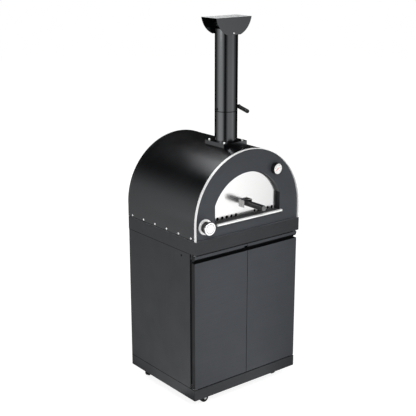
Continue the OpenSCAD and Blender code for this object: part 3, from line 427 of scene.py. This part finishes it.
# Black felt for the flue's joint ring and the tool hole's grommet, and also for black strips and
# sheets that are painted shade.
felt_and_shade_black = fibre_felt("black_felt_and_painted_shade", (0.004, 0.004, 0.004))
ledge_coat = powder_coat("ledge_black_coat", (0.062, 0.063, 0.065), 0.6, ACROSS, specular=0.22)
# Painted shade: black on the doors' side edges, for the shade in the gap beside the cabinet's
# sides.
door_edge_shade_coat = powder_coat("door_edge_coat", BLACK, 0.55, UPRIGHT, specular=0.22)
# Painted highlight: a lighter grey on the arch's lower side of the black mouth jamb.
jamb_highlight_coat = powder_coat("jamb_arch_painted_highlight", (0.075, 0.077, 0.08), 0.5, specular=0.3)
# Painted shade: near black inside the doors' finger pulls and on their foot, where shade falls in
# the recess.
pull_shade_coat = powder_coat("pull_painted_shade", (0.004, 0.0042, 0.0046), 0.7, ACROSS, specular=0.08)
scale_black = powder_coat("heat_blackened_scale", (0.012, 0.012, 0.0125), 0.65, specular=0.15)
door_steel = drawn_metal("oven_door_stainless", (0.81, 0.81, 0.805), 0.18, ACROSS, 0.05)
plain_steel = drawn_metal("plain_stainless", (0.62, 0.62, 0.615), 0.34, UPRIGHT)
bright_chrome = polished_metal("polished_chrome", (0.82, 0.82, 0.825), 0.06)
screw_steel = drawn_metal("screw_steel", (0.98, 0.98, 0.975), 0.45, UPRIGHT, 0.03, 0.9)
zinc_steel = zinc_plate("zinc_plated_steel", (0.55, 0.56, 0.57), 0.38)
oven_steel = heated_steel("heat_tinted_steel", (0.45, 0.45, 0.44), 0.36)
black_plastic = moulded_plastic("black_moulding", (0.012, 0.012, 0.0125), 0.42)
grip_end_moulding = moulded_plastic("grip_end_moulding", (0.13, 0.13, 0.132), 0.45)
tyre_rubber = wheel_rubber("tyre_rubber", (0.022, 0.022, 0.022))
hearth_clay = fired_clay("hearth_clay", (0.52, 0.43, 0.32))
blanket_felt = fibre_felt("blanket_felt", (0.75, 0.73, 0.68))
brass = turned_brass("turned_brass", (0.7, 0.53, 0.28))
dial_enamel = enamel("dial_white_enamel", (0.93, 0.93, 0.92), 0.35)
needle_enamel = enamel("needle_red_enamel", (0.8, 0.03, 0.02), 0.35)
print_black = enamel("print_black", (0.015, 0.015, 0.016), 0.5)
dial_glass = clear_glass("dial_glass")

CASTERS = ("front_left", "front_right", "rear_left", "rear_right")
FINISHES = {
    lit_front_coat: ["fascia", "left_door_panel", "right_door_panel"],
    shaded_side_coat: ["left_side_panel", "right_side_panel", "back_panel", "rear_panel"],
    shaded_base_coat: ["plinth", "base_pan"],
    hood_coat: ["hood", "back_trim"],
    chimney_coat: ["flue_flange", "lower_flue", "upper_flue", "rain_cap"],
    frame_coat: ["top_frame", "mouth_jamb", "thermometer_case"],
    ledge_coat: ["mouth_ledge"],
    scale_black: ["damper_blade"],
    bracket_steel: ["oven_door_bracket"],
    inner_coat: ["cabinet_floor", "shelf", "left_door_liner", "right_door_liner"],
    trim_steel_with_sheen: ["front_trim", "sill_bar", "knob_bezel"],
    door_steel: ["oven_door_plate"],
    plain_steel: ["oven_door_back"],
    bright_chrome: ["knob_cap"],
    screw_steel: ["side_screws", "flange_bolts", "cap_rivets"],
    zinc_steel: ["hinge_brackets", "magnet_catches", "caster_plates", "valve_stem"]
    + [corner + "_caster_fork" for corner in CASTERS],
    oven_steel: ["chamber", "burner_tube"],
    black_plastic: ["knob_core", "damper_grip", "oven_door_grip"]
    + ["front_left_brake_pedal", "front_right_brake_pedal"],
    tyre_rubber: [corner + "_wheel" for corner in CASTERS],
    hearth_clay: ["hearth_tiles"],
    blanket_felt: ["insulation_blanket"],
    brass: ["gas_valve", "gas_pipe"],
    dial_enamel: ["thermometer_dial"],
    needle_enamel: ["thermometer_needle"],
    dial_glass: ["thermometer_glass"],
}
for finish, names in FINISHES.items():
    for name in names:
        node[name].data.materials.clear()
        node[name].data.materials.append(finish)


# Rounded edges, as cut, bent and pressed metal has. Angles are in degrees.
SAME_POINT = 0.005 * MM
FLAT_ANGLE = 0.5
SHARP_ANGLE = 38
CURVED_ANGLE = 22


def soften(name, radius):
    """Stand-in for a CAD node whose sharp edges get a small radius, in millimetres."""
    piece = node[name].copy()
    piece.data = node[name].data.copy()
    bpy.context.scene.collection.objects.link(piece)
    piece.name = name + "_soft"
    select_all(piece)
    bpy.ops.mesh.remove_doubles(threshold=SAME_POINT)
    bpy.ops.mesh.dissolve_limited(angle_limit=math.radians(FLAT_ANGLE))
    bpy.ops.object.mode_set(mode="OBJECT")
    apply_modifier(
        piece,
        "BEVEL",
        width=radius * MM,
        segments=2,
        limit_method="ANGLE",
        angle_limit=math.radians(SHARP_ANGLE),
        use_clamp_overlap=True,
    )
    smooth(piece, CURVED_ANGLE)
    apply_modifier(piece, "WEIGHTED_NORMAL", mode="FACE_AREA", weight=100, keep_sharp=True)
    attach(piece, body_of[name])
    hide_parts(name)
    return piece


# Edge radii in millimetres
EDGE_RADII = {
    0.3: ["oven_door_back", "thermometer_case", "valve_stem", "knob_cap", "damper_blade"],
    0.45: ["left_door_panel", "right_door_panel", "fascia", "rear_panel"]
    + ["mouth_jamb", "rain_cap"],
    0.5: ["left_door_liner", "right_door_liner", "back_panel", "hinge_brackets", "magnet_catches"],
    0.55: ["oven_door_bracket", "shelf", "cabinet_floor", "top_frame", "knob_bezel"],
    0.6: ["front_trim", "back_trim", "left_side_panel", "right_side_panel", "base_pan", "hood"],
    0.7: ["plinth", "mouth_ledge", "caster_plates", "chamber", "gas_valve", "gas_pipe"],
    1.0: ["flue_flange", "lower_flue", "upper_flue", "sill_bar", "hearth_tiles"],
}
soft = {name: soften(name, radius) for radius, names in EDGE_RADII.items() for name in names}

# Faces with a second finish. A normal's share along an axis is 1 when it points straight along.
hood_low, hood_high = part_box("hood")
cap_low, cap_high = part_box("rain_cap")
bracket_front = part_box("oven_door_bracket")[0].y
door_low, door_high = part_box("left_door_panel")
door_front = door_low.y
PULL_DEPTH = 37 * MM
LIP_HEIGHT = 7 * MM
PULL_BEND = 12 * MM
GRIP_END = 1.5 * MM
pull_foot = door_high.z - PULL_DEPTH
pull_lip = door_high.z - LIP_HEIGHT


def on_base_step(face):
    return face.normal.z > 0.4 and abs(face.center.z - hood_low.z) < MM


def on_cap_top(face):
    return face.normal.z > 0.9 and face.center.z > cap_high.z - MM


def on_grip_end(face):
    return face.center.y < bracket_front + GRIP_END


def on_side(face):
    return abs(face.normal.x) > 0.7


def in_pull(face):
    """Inside of the finger pull that is rolled into a door's upper edge, with its foot, which gets
    painted shade.
    """
    place, facing = face.center, face.normal
    at_foot = abs(place.z - pull_foot) < 0.5 * MM and facing.z > 0.8
    rolled = facing.y < 0 and (facing.z < -0.45 or place.z < pull_foot + PULL_BEND)
    if at_foot and place.y > door_front + 3 * MM:
        return True
    return rolled and pull_foot < place.z < pull_lip and place.y > door_front + MM


def under_arch(face):
    """The arch's lower side, down to where it is nearly upright, which gets a painted highlight.
    """
    return face.normal.z < -0.06


# Painted light on the upward faces of the base's step.
paint(soft["base_pan"], step_light_coat, on_base_step)
paint(soft["rain_cap"], cap_steel, on_cap_top)
paint(soft["oven_door_bracket"], grip_end_moulding, on_grip_end)
# Painted shade on the doors: black on their side edges, and near black inside their finger pulls.
for name in ("left_door_panel", "right_door_panel"):
    paint(soft[name], door_edge_shade_coat, on_side)
    paint(soft[name], pull_shade_coat, in_pull)
paint(soft["mouth_jamb"], jamb_highlight_coat, under_arch)
# Painted light and shade: the sides of the base and plinth take the sides' tone of the charcoal
# paint instead of their fronts' darker one.
for name in ("base_pan", "plinth"):
    paint(soft[name], shaded_side_coat, on_side)


# Screws, bolts and rivets
def button_screw(name, radius, height, shank_radius, shank_length, socket):
    """Domed screw along +z with a hexagon socket, its shank below."""
    deselect()
    bpy.ops.mesh.primitive_cylinder_add(
        vertices=24, radius=radius, depth=height, location=(0, 0, height / 2)
    )
    screw = settle(bpy.context.object, name)
    select_faces(screw, lambda face: face.normal.z > 0.9)
    dome = min(radius * 0.55, height * 0.9)
    bpy.ops.mesh.bevel(offset=dome, segments=4, profile=0.6, affect="EDGES")
    select_faces(screw, lambda face: face.normal.z < -0.9)
    bpy.ops.mesh.inset(thickness=radius - shank_radius)
    bpy.ops.mesh.extrude_region_move(TRANSFORM_OT_translate={"value": (0, 0, -shank_length)})
    bpy.ops.object.mode_set(mode="OBJECT")
    if socket:
        deselect()
        bpy.ops.mesh.primitive_cylinder_add(
            vertices=6, radius=socket, depth=height, location=(0, 0, height * 1.05)
        )
        cutter = bpy.context.object
        apply_modifier(screw, "BOOLEAN", operation="DIFFERENCE", object=cutter)
        bpy.data.objects.remove(cutter)
    smooth(screw, 40)
    return screw


def fasten(name, model, places, body, finish, replaced=None):
    """One piece of a screw's copies, at each place and direction. It may replace a CAD node."""
    copies = [repeat(model, name, aimed(place, direction)) for place, direction in places]
    bpy.data.objects.remove(model)
    piece = mount(join(copies, name), body, finish)
    if replaced:
        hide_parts(replaced)


SOCKET_SHARE = 0.45
SCREWS_IN_ROW = 6
HEAD_WIDENING = 1.25  # the photograph shows wider heads than the solids have
low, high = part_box("side_screws")
solid_radius = (high.z - low.z) / 2
head_radius = solid_radius * HEAD_WIDENING
small_radius = head_radius * SOCKET_SHARE
row_step = (high.y - low.y - 2 * solid_radius) / (SCREWS_IN_ROW - 1)
row = [low.y + solid_radius + place * row_step for place in range(SCREWS_IN_ROW)]
fasten(
    "hood_side_screws",
    button_screw(
        "side_screw",
        radius=head_radius,
        height=high.x - hood_high.x,
        shank_radius=small_radius,
        shank_length=8 * MM,
        socket=small_radius,
    ),
    [
        (Vector((side * hood_high.x, y, middle(low, high).z)), (side, 0, 0))
        for side in (-1, 1)
        for y in row
    ],
    body_of["side_screws"],
    screw_steel,
    "side_screws",
)

BOLT_RADIUS = 6 * MM
low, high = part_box("flange_bolts")
flange_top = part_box("flue_flange")[1].z
fasten(
    "flue_flange_bolts",
    button_screw(
        "flange_bolt",
        radius=BOLT_RADIUS,
        height=high.z - flange_top,
        shank_radius=BOLT_RADIUS / 2,
        shank_length=8 * MM,
        socket=BOLT_RADIUS * SOCKET_SHARE,
    ),
    [
        (Vector((x, y, flange_top)), (0, 0, 1))
        for x in (low.x + BOLT_RADIUS, high.x - BOLT_RADIUS)
        for y in (low.y + BOLT_RADIUS, high.y - BOLT_RADIUS)
    ],
    body_of["flange_bolts"],
    screw_steel,
    "flange_bolts",
)

low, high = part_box("cap_rivets")
rivet_z = middle(low, high).z
fasten(
    "cap_side_rivets",
    button_screw(
        "cap_rivet",
        radius=(high.z - low.z) / 2,
        height=cap_low.y - low.y,
        shank_radius=3 * MM,
        shank_length=2.5 * MM,
        socket=0,
    ),
    [
        (Vector((0, cap_low.y, rivet_z)), (0, -1, 0)),
        (Vector((0, cap_high.y, rivet_z)), (0, 1, 0)),
    ],
    body_of["cap_rivets"],
    screw_steel,
    "cap_rivets",
)

# Black strips in the seams over and under the cabinet's sides, as painted shade for the shadow
# lines there
side_low, side_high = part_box("left_side_panel")
half_width = -side_low.x
SEAM_HEIGHT = 2.6 * MM
SEAM_WALL = 1.2 * MM
SEAM_PROUD_SIDE = 0.35 * MM
SEAM_PROUD_BACK = 0.3 * MM
TOP_SEAM_DROP = 3 * MM


def seam_strip(name, foot):
    """Strip all round the cabinet from one height up, open inside."""
    back = side_high.y + SEAM_PROUD_BACK
    deselect()
    bpy.ops.mesh.primitive_plane_add(size=1, location=(0, (side_low.y + back) / 2, foot))
    strip = bpy.context.object
    strip.scale = (2 * (half_width + SEAM_PROUD_SIDE), back - side_low.y, 1)
    select_all(settle(strip, name))
    bpy.ops.mesh.inset(thickness=SEAM_WALL)
    bpy.ops.mesh.delete(type="FACE")
    bpy.ops.object.mode_set(mode="OBJECT")
    apply_modifier(strip, "SOLIDIFY", thickness=SEAM_HEIGHT, offset=1)
    apply_modifier(strip, "BEVEL", width=0.2 * MM, segments=1)
    mount(strip, "oven_and_cabinet", felt_and_shade_black)


seam_strip("base_seam_shade_strip", side_high.z - TOP_SEAM_DROP)
seam_strip("plinth_seam_shade_strip", side_low.z)

# Black strips on the front edges of the sides, where the doors close, as painted shade for the
# dark gap there
DOOR_SHADE_END_GAPS = 5.6 * MM
DOOR_SHADE_SIZE = Vector((3.1 * MM, 2.2 * MM, side_high.z - side_low.z - DOOR_SHADE_END_GAPS))
DOOR_SHADE_INSET = 1.2 * MM
HOLLOW_RIM = 0.35 * MM
HOLLOW_DEPTH = 0.12 * MM
for name, side in (("door_seal_left", -1), ("door_seal_right", 1)):
    door_shade_place = (
        side * (half_width - DOOR_SHADE_INSET),
        side_low.y + DOOR_SHADE_SIZE.y / 2,
        (side_low.z + side_high.z) / 2,
    )
    deselect()
    bpy.ops.mesh.primitive_cube_add(size=1, location=door_shade_place)
    strip = bpy.context.object
    strip.scale = DOOR_SHADE_SIZE
    settle(strip, name)
    select_faces(strip, lambda face: face.normal.x * side > 0.9)
    bpy.ops.mesh.inset(thickness=HOLLOW_RIM)
    bpy.ops.transform.translate(value=(-side * HOLLOW_DEPTH, 0, 0))
    bpy.ops.object.mode_set(mode="OBJECT")
    apply_modifier(strip, "BEVEL", width=0.1 * MM, segments=1)
    mount(strip, "oven_and_cabinet", felt_and_shade_black)


# Sheet screws that hold the back, the rear of the oven and the door liners
def sheet_screws(name, radius, height, places, body):
    """Small screws whose heads face the rear."""
    model = button_screw(
        name,
        radius,
        height,
        shank_radius=radius / 2,
        shank_length=0.8 * MM,
        socket=radius * SOCKET_SHARE,
    )
    fasten(name, model, [(Vector(place), (0, 1, 0)) for place in places], body, zinc_steel)


# Radius and height of the heads
PANEL_SCREW = (4 * MM, 1.6 * MM)
LINER_SCREW = (3.5 * MM, 1.2 * MM)
FLANGE_EDGE = 9 * MM
SCREW_EDGE = 12 * MM

low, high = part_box("back_panel")
flange_x = half_width - FLANGE_EDGE
back_places = [
    (x, y, low.z + (high.z - low.z) * share)
    for x, y in ((-flange_x, side_high.y), (0, high.y), (flange_x, side_high.y))
    for share in (0.03, 0.5, 0.97)
]
sheet_screws("back_panel_screws", *PANEL_SCREW, back_places, "oven_and_cabinet")

low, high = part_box("rear_panel")
arch_radius = (high.x - low.x) / 2
screw_radius = arch_radius - SCREW_EDGE
rear_places = [
    (
        math.cos(math.radians(angle)) * screw_radius,
        high.y,
        high.z - arch_radius + math.sin(math.radians(angle)) * screw_radius,
    )
    for angle in range(0, 181, 30)
]
sheet_screws("rear_panel_screws", *PANEL_SCREW, rear_places, "oven_and_cabinet")

for side in ("left", "right"):
    low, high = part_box(side + "_door_liner")
    liner_places = [
        (x, high.y, z)
        for x in (low.x + SCREW_EDGE, high.x - SCREW_EDGE)
        for z in (low.z + SCREW_EDGE, middle(low, high).z, high.z - SCREW_EDGE)
    ]
    sheet_screws(side + "_liner_screws", *LINER_SCREW, liner_places, side + "_door")

# Black sheet behind the vent holes of the oven door, as painted shade that darkens the holes
VENT_SHADE_TALL = 23 * MM
VENT_SHADE_MARGIN = 15 * MM
VENT_SHADE_RAISED = 17 * MM
VENT_SHADE_BEHIND = 2.6 * MM
plate_low, plate_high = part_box("oven_door_plate")
deselect()
bpy.ops.mesh.primitive_plane_add(size=1)
vent_shade = bpy.context.object
vent_shade.scale = (plate_high.x - plate_low.x - 2 * VENT_SHADE_MARGIN, VENT_SHADE_TALL, 1)
select_all(settle(vent_shade, "vent_shade_sheet"))
bpy.ops.mesh.bevel(offset=6 * MM, segments=5, affect="VERTICES")
bpy.ops.object.mode_set(mode="OBJECT")
apply_modifier(vent_shade, "SOLIDIFY", thickness=1.2 * MM, offset=0)
apply_modifier(vent_shade, "BEVEL", width=0.3 * MM, segments=2)
vent_place = Vector(
    (
        middle(plate_low, plate_high).x,
        plate_low.y + VENT_SHADE_BEHIND,
        plate_low.z + VENT_SHADE_RAISED,
    )
)
vent_shade.data.transform(aimed(vent_place, (0, -1, 0)))
mount(vent_shade, "oven_door", felt_and_shade_black)

# Scale of the thermometer, from 0 to 500 over the needle's turn. Angles are in degrees,
# and a mark has a length and a width.
PRINT_HEIGHT = 0.08 * MM
FIRST_MARK = 212
MARK_STEP = 12.5
MARK_COUNT = 21
NUMBER_COUNT = 6
MARKS_PER_NUMBER = 4
LONG_MARK = (4.2 * MM, 0.9 * MM)
SHORT_MARK = (2.4 * MM, 0.5 * MM)
LONG_MARK_RADIUS = 24.4 * MM
SHORT_MARK_RADIUS = 25.3 * MM
NUMBER_RADIUS = 17.2 * MM
NUMBER_SIZE = 4.8 * MM
dial_low, dial_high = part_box("thermometer_dial")
dial_middle = middle(dial_low, dial_high)
dial_middle.y = dial_low.y


def on_dial(angle, radius, upright):
    """Place on the dial's face at an angle, for what was made lying flat and facing +z."""
    around = math.radians(angle)
    place = dial_middle + Vector((math.cos(around) * radius, 0, math.sin(around) * radius))
    stand = Matrix.Translation(place) @ Matrix.Rotation(math.pi / 2, 4, "X")
    return stand @ Matrix.Rotation(0 if upright else around, 4, "Z")


def dial_mark(length, width):
    """Printed line whose outer end is half as wide."""
    deselect()
    bpy.ops.mesh.primitive_cube_add(size=1)
    mark = bpy.context.object
    mark.scale = (length, width, 2 * PRINT_HEIGHT)
    settle(mark, "dial_mark")
    select_faces(mark, lambda face: face.normal.x > 0.9)
    bpy.ops.transform.resize(value=(1, 0.5, 1))
    bpy.ops.object.mode_set(mode="OBJECT")
    apply_modifier(mark, "BEVEL", width=PRINT_HEIGHT / 3, segments=1)
    return mark


marks = []
for place in range(MARK_COUNT):
    is_long = place % MARKS_PER_NUMBER == 0
    mark = dial_mark(*(LONG_MARK if is_long else SHORT_MARK))
    radius = LONG_MARK_RADIUS if is_long else SHORT_MARK_RADIUS
    mark.data.transform(on_dial(FIRST_MARK - place * MARK_STEP, radius, False))
    marks.append(mark)
mount(join(marks, "dial_marks"), "oven_and_cabinet", print_black)

numbers = []
for place in range(NUMBER_COUNT):
    deselect()
    bpy.ops.object.text_add()
    number = bpy.context.object
    number.data.body = str(place * 100)
    number.data.size = NUMBER_SIZE
    number.data.extrude = PRINT_HEIGHT
    number.data.align_x = "CENTER"
    number.data.align_y = "CENTER"
    bpy.ops.object.convert(target="MESH")
    number = bpy.context.object
    angle = FIRST_MARK - place * MARKS_PER_NUMBER * MARK_STEP
    number.data.transform(on_dial(angle, NUMBER_RADIUS, True))
    numbers.append(number)
mount(join(numbers, "dial_numbers"), "oven_and_cabinet", print_black)


# Rings on the flue's joint, in the tool hole and on the knob's face
def sleeve(name, place, direction, radius, height, wall):
    """Thin ring round an axis; place is the middle of its height."""
    deselect()
    bpy.ops.mesh.primitive_cylinder_add(
        vertices=72, radius=radius, depth=height, end_fill_type="NOTHING"
    )
    ring = settle(bpy.context.object, name)
    apply_modifier(ring, "SOLIDIFY", thickness=wall, offset=-1)
    apply_modifier(ring, "BEVEL", width=0.15 * MM, segments=1)
    smooth(ring, 30)
    ring.data.transform(aimed(place, direction))
    return ring


JOINT_PROUD = 0.3 * MM
low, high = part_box("lower_flue")
joint_place = Vector((0, middle(low, high).y, high.z))
joint_radius = (high.x - low.x) / 2 + JOINT_PROUD
joint_ring = sleeve(
    "pipe_joint_ring", joint_place, (0, 0, 1), joint_radius, height=3.6 * MM, wall=0.8 * MM
)
mount(joint_ring, "oven_and_cabinet", felt_and_shade_black)

CABINET_DEPTH = 576 * MM
TOOL_HOLE_SHARE = 0.184  # of the cabinet's depth, from the front
TOOL_HOLE_DROP = 26.3 * MM
hole_place = Vector(
    (side_low.x, door_front + TOOL_HOLE_SHARE * CABINET_DEPTH, side_high.z - TOOL_HOLE_DROP)
)
grommet = sleeve(
    "tool_hole_grommet",
    hole_place,
    (-1, 0, 0),
    radius=5.2 * MM,
    height=1.6 * MM,
    wall=2.4 * MM,
)
mount(grommet, "oven_and_cabinet", felt_and_shade_black)

RECESS_SHARE = 0.72  # of the knob cap's radius
RING_OVERLAP = 0.8 * MM
RING_SET_BACK = 0.75 * MM
low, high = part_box("knob_cap")
face_place = middle(low, high)
face_place.y = low.y + RING_SET_BACK
face_radius = RECESS_SHARE * (high.z - low.z) / 2 + RING_OVERLAP
face_ring = sleeve(
    "knob_face_ring", face_place, (0, -1, 0), face_radius, height=1.2 * MM, wall=1.6 * MM
)
mount(face_ring, "knob", black_plastic)


# Studio. The camera sees white; only reflections see the soft panels.
class WorldFinish:
    """Lets the world's nodes be added as a material's are."""

    def __init__(self, world):
        self.node_tree = world.node_tree


def ray_is(finish, kind):
    return add_node(finish, "ShaderNodeLightPath").outputs["Is " + kind + " Ray"]


def seen_rays(finish):
    """1 for rays from the camera, from a reflection or through glass, 0 for others."""
    seen = reckon(finish, "ADD", ray_is(finish, "Camera"), ray_is(finish, "Glossy"))
    return reckon(finish, "ADD", seen, ray_is(finish, "Transmission"), use_clamp=True)


def compass(finish, direction):
    """Compass direction of a vector, from 0 to 1 for a full turn that starts at the right."""
    parts = add_node(finish, "ShaderNodeSeparateXYZ", [(0, direction)]).outputs
    angle = reckon(finish, "ARCTAN2", parts["Y"], parts["X"])
    turns = reckon(finish, "DIVIDE", angle, 2 * math.pi)
    return reckon(finish, "FLOORED_MODULO", turns, 1.0)


def panel(finish, turn, levels):
    """Brightness of one soft panel, from its levels at compass directions in degrees."""
    ramp = add_node(finish, "ShaderNodeValToRGB", [(0, turn)])
    stops = ramp.color_ramp.elements
    while len(stops) > 1:
        stops.remove(stops[-1])
    for place, (degrees, level) in enumerate(levels):
        stop = stops[0] if place == 0 else stops.new(degrees / 360)
        stop.position = degrees / 360
        stop.color = (level / TOP_LEVEL, level / TOP_LEVEL, level / TOP_LEVEL, 1)
    return times(finish, ramp.outputs[0], TOP_LEVEL)


# Each panel is a list of compass directions in degrees and the brightness there
TOP_LEVEL = 2.4
DARK_LEVEL = 0.01
LEFT_PANEL = [
    (108, 0),
    (121, 0.25),
    (128, 0.62),
    (137, 0.78),
    (150, 1.6),
    (162, 2.15),
    (185, 2.1),
    (193, 1.9),
    (202, 1.1),
    (211, 0.3),
    (218, 0),
]
LEFT_FLOOR = [
    (98, 0),
    (108, 0.76),
    (150, 0.76),
    (160, 1.0),
    (170, 1.3),
    (185, 1.3),
    (195, 0.9),
    (205, 0.4),
    (215, 0),
]
FRONT_PANEL = [
    (227, 0),
    (239, 0.45),
    (250, 1.0),
    (285, 1.08),
    (296, 1.25),
    (302, 1.3),
    (306, 1.15),
    (310, 0.9),
    (321, 0.45),
    (335, 0.15),
    (350, 0),
]
MIDDLE_FLOOR = [(200, 0), (212, 1.0), (232, 1.0), (246, 0)]
REAR_FLOOR = [(10, 0), (25, 0.9), (65, 0.9), (85, 0)]
# The walls fade out upwards, between two shares of the way to straight up
LEFT_FADE = (0.12, 0.52)
FRONT_FADE = (-0.02, 0.2)
WHITE = (1, 1, 1)
PAPER = (0.87, 0.87, 0.87)
FILL_STRENGTH = 0.5

world = bpy.data.worlds.new("studio")
bpy.context.scene.world = world
world.use_nodes = True
world.node_tree.nodes.clear()
studio = WorldFinish(world)
direction = add_node(studio, "ShaderNodeTexCoord").outputs["Generated"]
height = add_node(studio, "ShaderNodeSeparateXYZ", [(0, direction)]).outputs["Z"]
turn = compass(studio, direction)
left_wall = times(
    studio, panel(studio, turn, LEFT_PANEL), spread(studio, height, 1.0, 0.0, *LEFT_FADE)
)
front_wall = times(
    studio, panel(studio, turn, FRONT_PANEL), spread(studio, height, 1.0, 0.0, *FRONT_FADE)
)
walls = total(studio, [left_wall, front_wall, DARK_LEVEL])
seen_colour = shade(studio, ray_is(studio, "Glossy"), WHITE, walls)
fill = add_node(
    studio, "ShaderNodeBackground", [("Color", (*WHITE, 1)), ("Strength", FILL_STRENGTH)]
)
shown = add_node(studio, "ShaderNodeBackground", [("Color", seen_colour), ("Strength", 1.0)])
both = add_node(
    studio,
    "ShaderNodeMixShader",
    [(0, seen_rays(studio)), (1, fill.outputs[0]), (2, shown.outputs[0])],
)
add_node(studio, "ShaderNodeOutputWorld", [("Surface", both.outputs[0])])

# Floor. Upright sheets mirror the floor, so it carries panels too. Distances are in metres,
# and the shift brings the cabinet's left side to the origin.
FLOOR_RADIUS = 14
SIDE_SHIFT = (0.35, 0, 0)
deselect()
bpy.ops.mesh.primitive_circle_add(vertices=96, radius=FLOOR_RADIUS, fill_type="NGON")
floor = bpy.context.object
floor.name = "studio_floor"
floor_finish = new_finish("studio_floor", (0.3, 0.3, 0.3), 0.9, specular=0.0)
spot = add_node(floor_finish, "ShaderNodeTexCoord").outputs["Object"]
turn = compass(floor_finish, spot)
from_side = add_node(floor_finish, "ShaderNodeVectorMath", [(0, spot), (1, SIDE_SHIFT)])
side_turn = compass(floor_finish, from_side.outputs["Vector"])
distance = add_node(
    floor_finish, "ShaderNodeVectorMath", [(0, spot)], operation="LENGTH"
).outputs["Value"]


def floor_panel(turn, levels, near, far, start, end):
    """Panel on the floor, whose share goes from near to far between two distances."""
    share = spread(floor_finish, distance, near, far, start, end)
    return times(floor_finish, panel(floor_finish, turn, levels), share)


near_left = times(
    floor_finish,
    floor_panel(side_turn, LEFT_FLOOR, near=1.25, far=0.66, start=0.6, end=3.5),
    spread(floor_finish, distance, 1.0, 0.0, 3.9, 4.3),
)
panels = [
    near_left,
    floor_panel(turn, LEFT_PANEL, near=0.0, far=1.0, start=3.9, end=4.3),
    floor_panel(turn, FRONT_PANEL, near=1.0, far=1.3, start=2.2, end=4.4),
    floor_panel(turn, MIDDLE_FLOOR, near=1.0, far=0.0, start=3.7, end=4.2),
    floor_panel(turn, REAR_FLOOR, near=1.0, far=0.0, start=3.0, end=4.5),
    DARK_LEVEL,
]
in_reflection = ray_is(floor_finish, "Glossy")
floor_colour = shade(floor_finish, in_reflection, PAPER, total(floor_finish, panels))
glow = add_node(floor_finish, "ShaderNodeEmission", [("Color", floor_colour), ("Strength", 1.0)])
floor_tree = floor_finish.node_tree
paper = floor_tree.nodes["Principled BSDF"].outputs[0]
lit_paper = add_node(floor_finish, "ShaderNodeAddShader", [(0, paper), (1, glow.outputs[0])])
seen_floor = add_node(
    floor_finish,
    "ShaderNodeMixShader",
    [(0, in_reflection), (1, lit_paper.outputs[0]), (2, glow.outputs[0])],
)
whole_floor = add_node(
    floor_finish,
    "ShaderNodeMixShader",
    [(0, seen_rays(floor_finish)), (1, paper), (2, seen_floor.outputs[0])],
)
surface = floor_tree.nodes["Material Output"].inputs["Surface"]
floor_tree.links.new(whole_floor.outputs[0], surface)
floor.data.materials.append(floor_finish)


def soft_light(name, power, place, aim, size, tall=None, unseen=None):
    """Round softbox, or a strip when its height is given; unseen names rays that miss it."""
    data = bpy.data.lights.new(name, "AREA")
    data.shape = "RECTANGLE" if tall else "DISK"
    data.size = size
    if tall:
        data.size_y = tall
    data.energy = power
    light = bpy.data.objects.new(name, data)
    bpy.context.scene.collection.objects.link(light)
    light.location = place
    light.rotation_euler = (Vector(aim) - Vector(place)).to_track_quat("-Z", "Y").to_euler()
    light.visible_camera = False
    if unseen:
        setattr(light, "visible_" + unseen, False)


# Name, power in watts, place, aim, width, height, and the rays that miss it
for softbox in (
    ("front_left_softbox", 78, (-1.9, -2.7, 3.0), (-0.1, -0.2, 0.9), 1.4),
    ("left_softbox", 14, (-3.6, 0.2, 2.2), (0, 0, 0.9), 1.6),
    ("front_right_softbox", 10, (2.8, -3.6, 2.6), (0, 0, 0.9), 1.6, None, "glossy"),
    ("rear_softbox", 80, (0.6, 4.2, 3.2), (0, 0, 1.0), 2.2, None, "glossy"),
    ("top_softbox", 9.5, (0, 1.0, 2.85), (0, 0, 1.3), 1.9, 0.7, "diffuse"),
    ("hood_softbox", 0.65, (-0.4, 0.6, 2.08), (-0.22, -0.2, 1.42), 0.75, 0.3, "diffuse"),
    ("front_strip", 3, (0.02, -0.85, 0.62), (0.02, 0, 0.62), 0.12, 1.2, "glossy"),
):
    soft_light(*softbox)

# Camera at the photograph's place, as fitted to the edges of the cabinet, the hood and the
# flue. The fit's own origin lies at the shift.
CAMERA_TURN = math.radians(-38.5142237)
CAMERA_RISE = math.radians(16.3774108)
CAMERA_BACK = 5.31536688
CAMERA_RIGHT = -0.0275699658
CAMERA_UP = 0.880716519
FIT_SHIFT = Vector((0, 0.05025, 0.06))
across, away = math.cos(CAMERA_TURN), math.sin(CAMERA_TURN)
flat, steep = math.cos(CAMERA_RISE), math.sin(CAMERA_RISE)
back = Vector((away * flat, -across * flat, steep))
right = Vector((across, away, 0))
up = Vector((-away * steep, across * steep, flat))
camera_data = bpy.data.cameras.new("camera")
camera_data.sensor_width = 36
camera_data.lens = 81.54
camera = bpy.data.objects.new("camera", camera_data)
bpy.context.scene.collection.objects.link(camera)
eye = back * CAMERA_BACK + right * CAMERA_RIGHT + up * CAMERA_UP + FIT_SHIFT
camera.matrix_world = Matrix.Translation(eye) @ Matrix((right, up, back)).transposed().to_4x4()
bpy.context.scene.camera = camera
bpy.context.scene.view_settings.view_transform = "Standard"
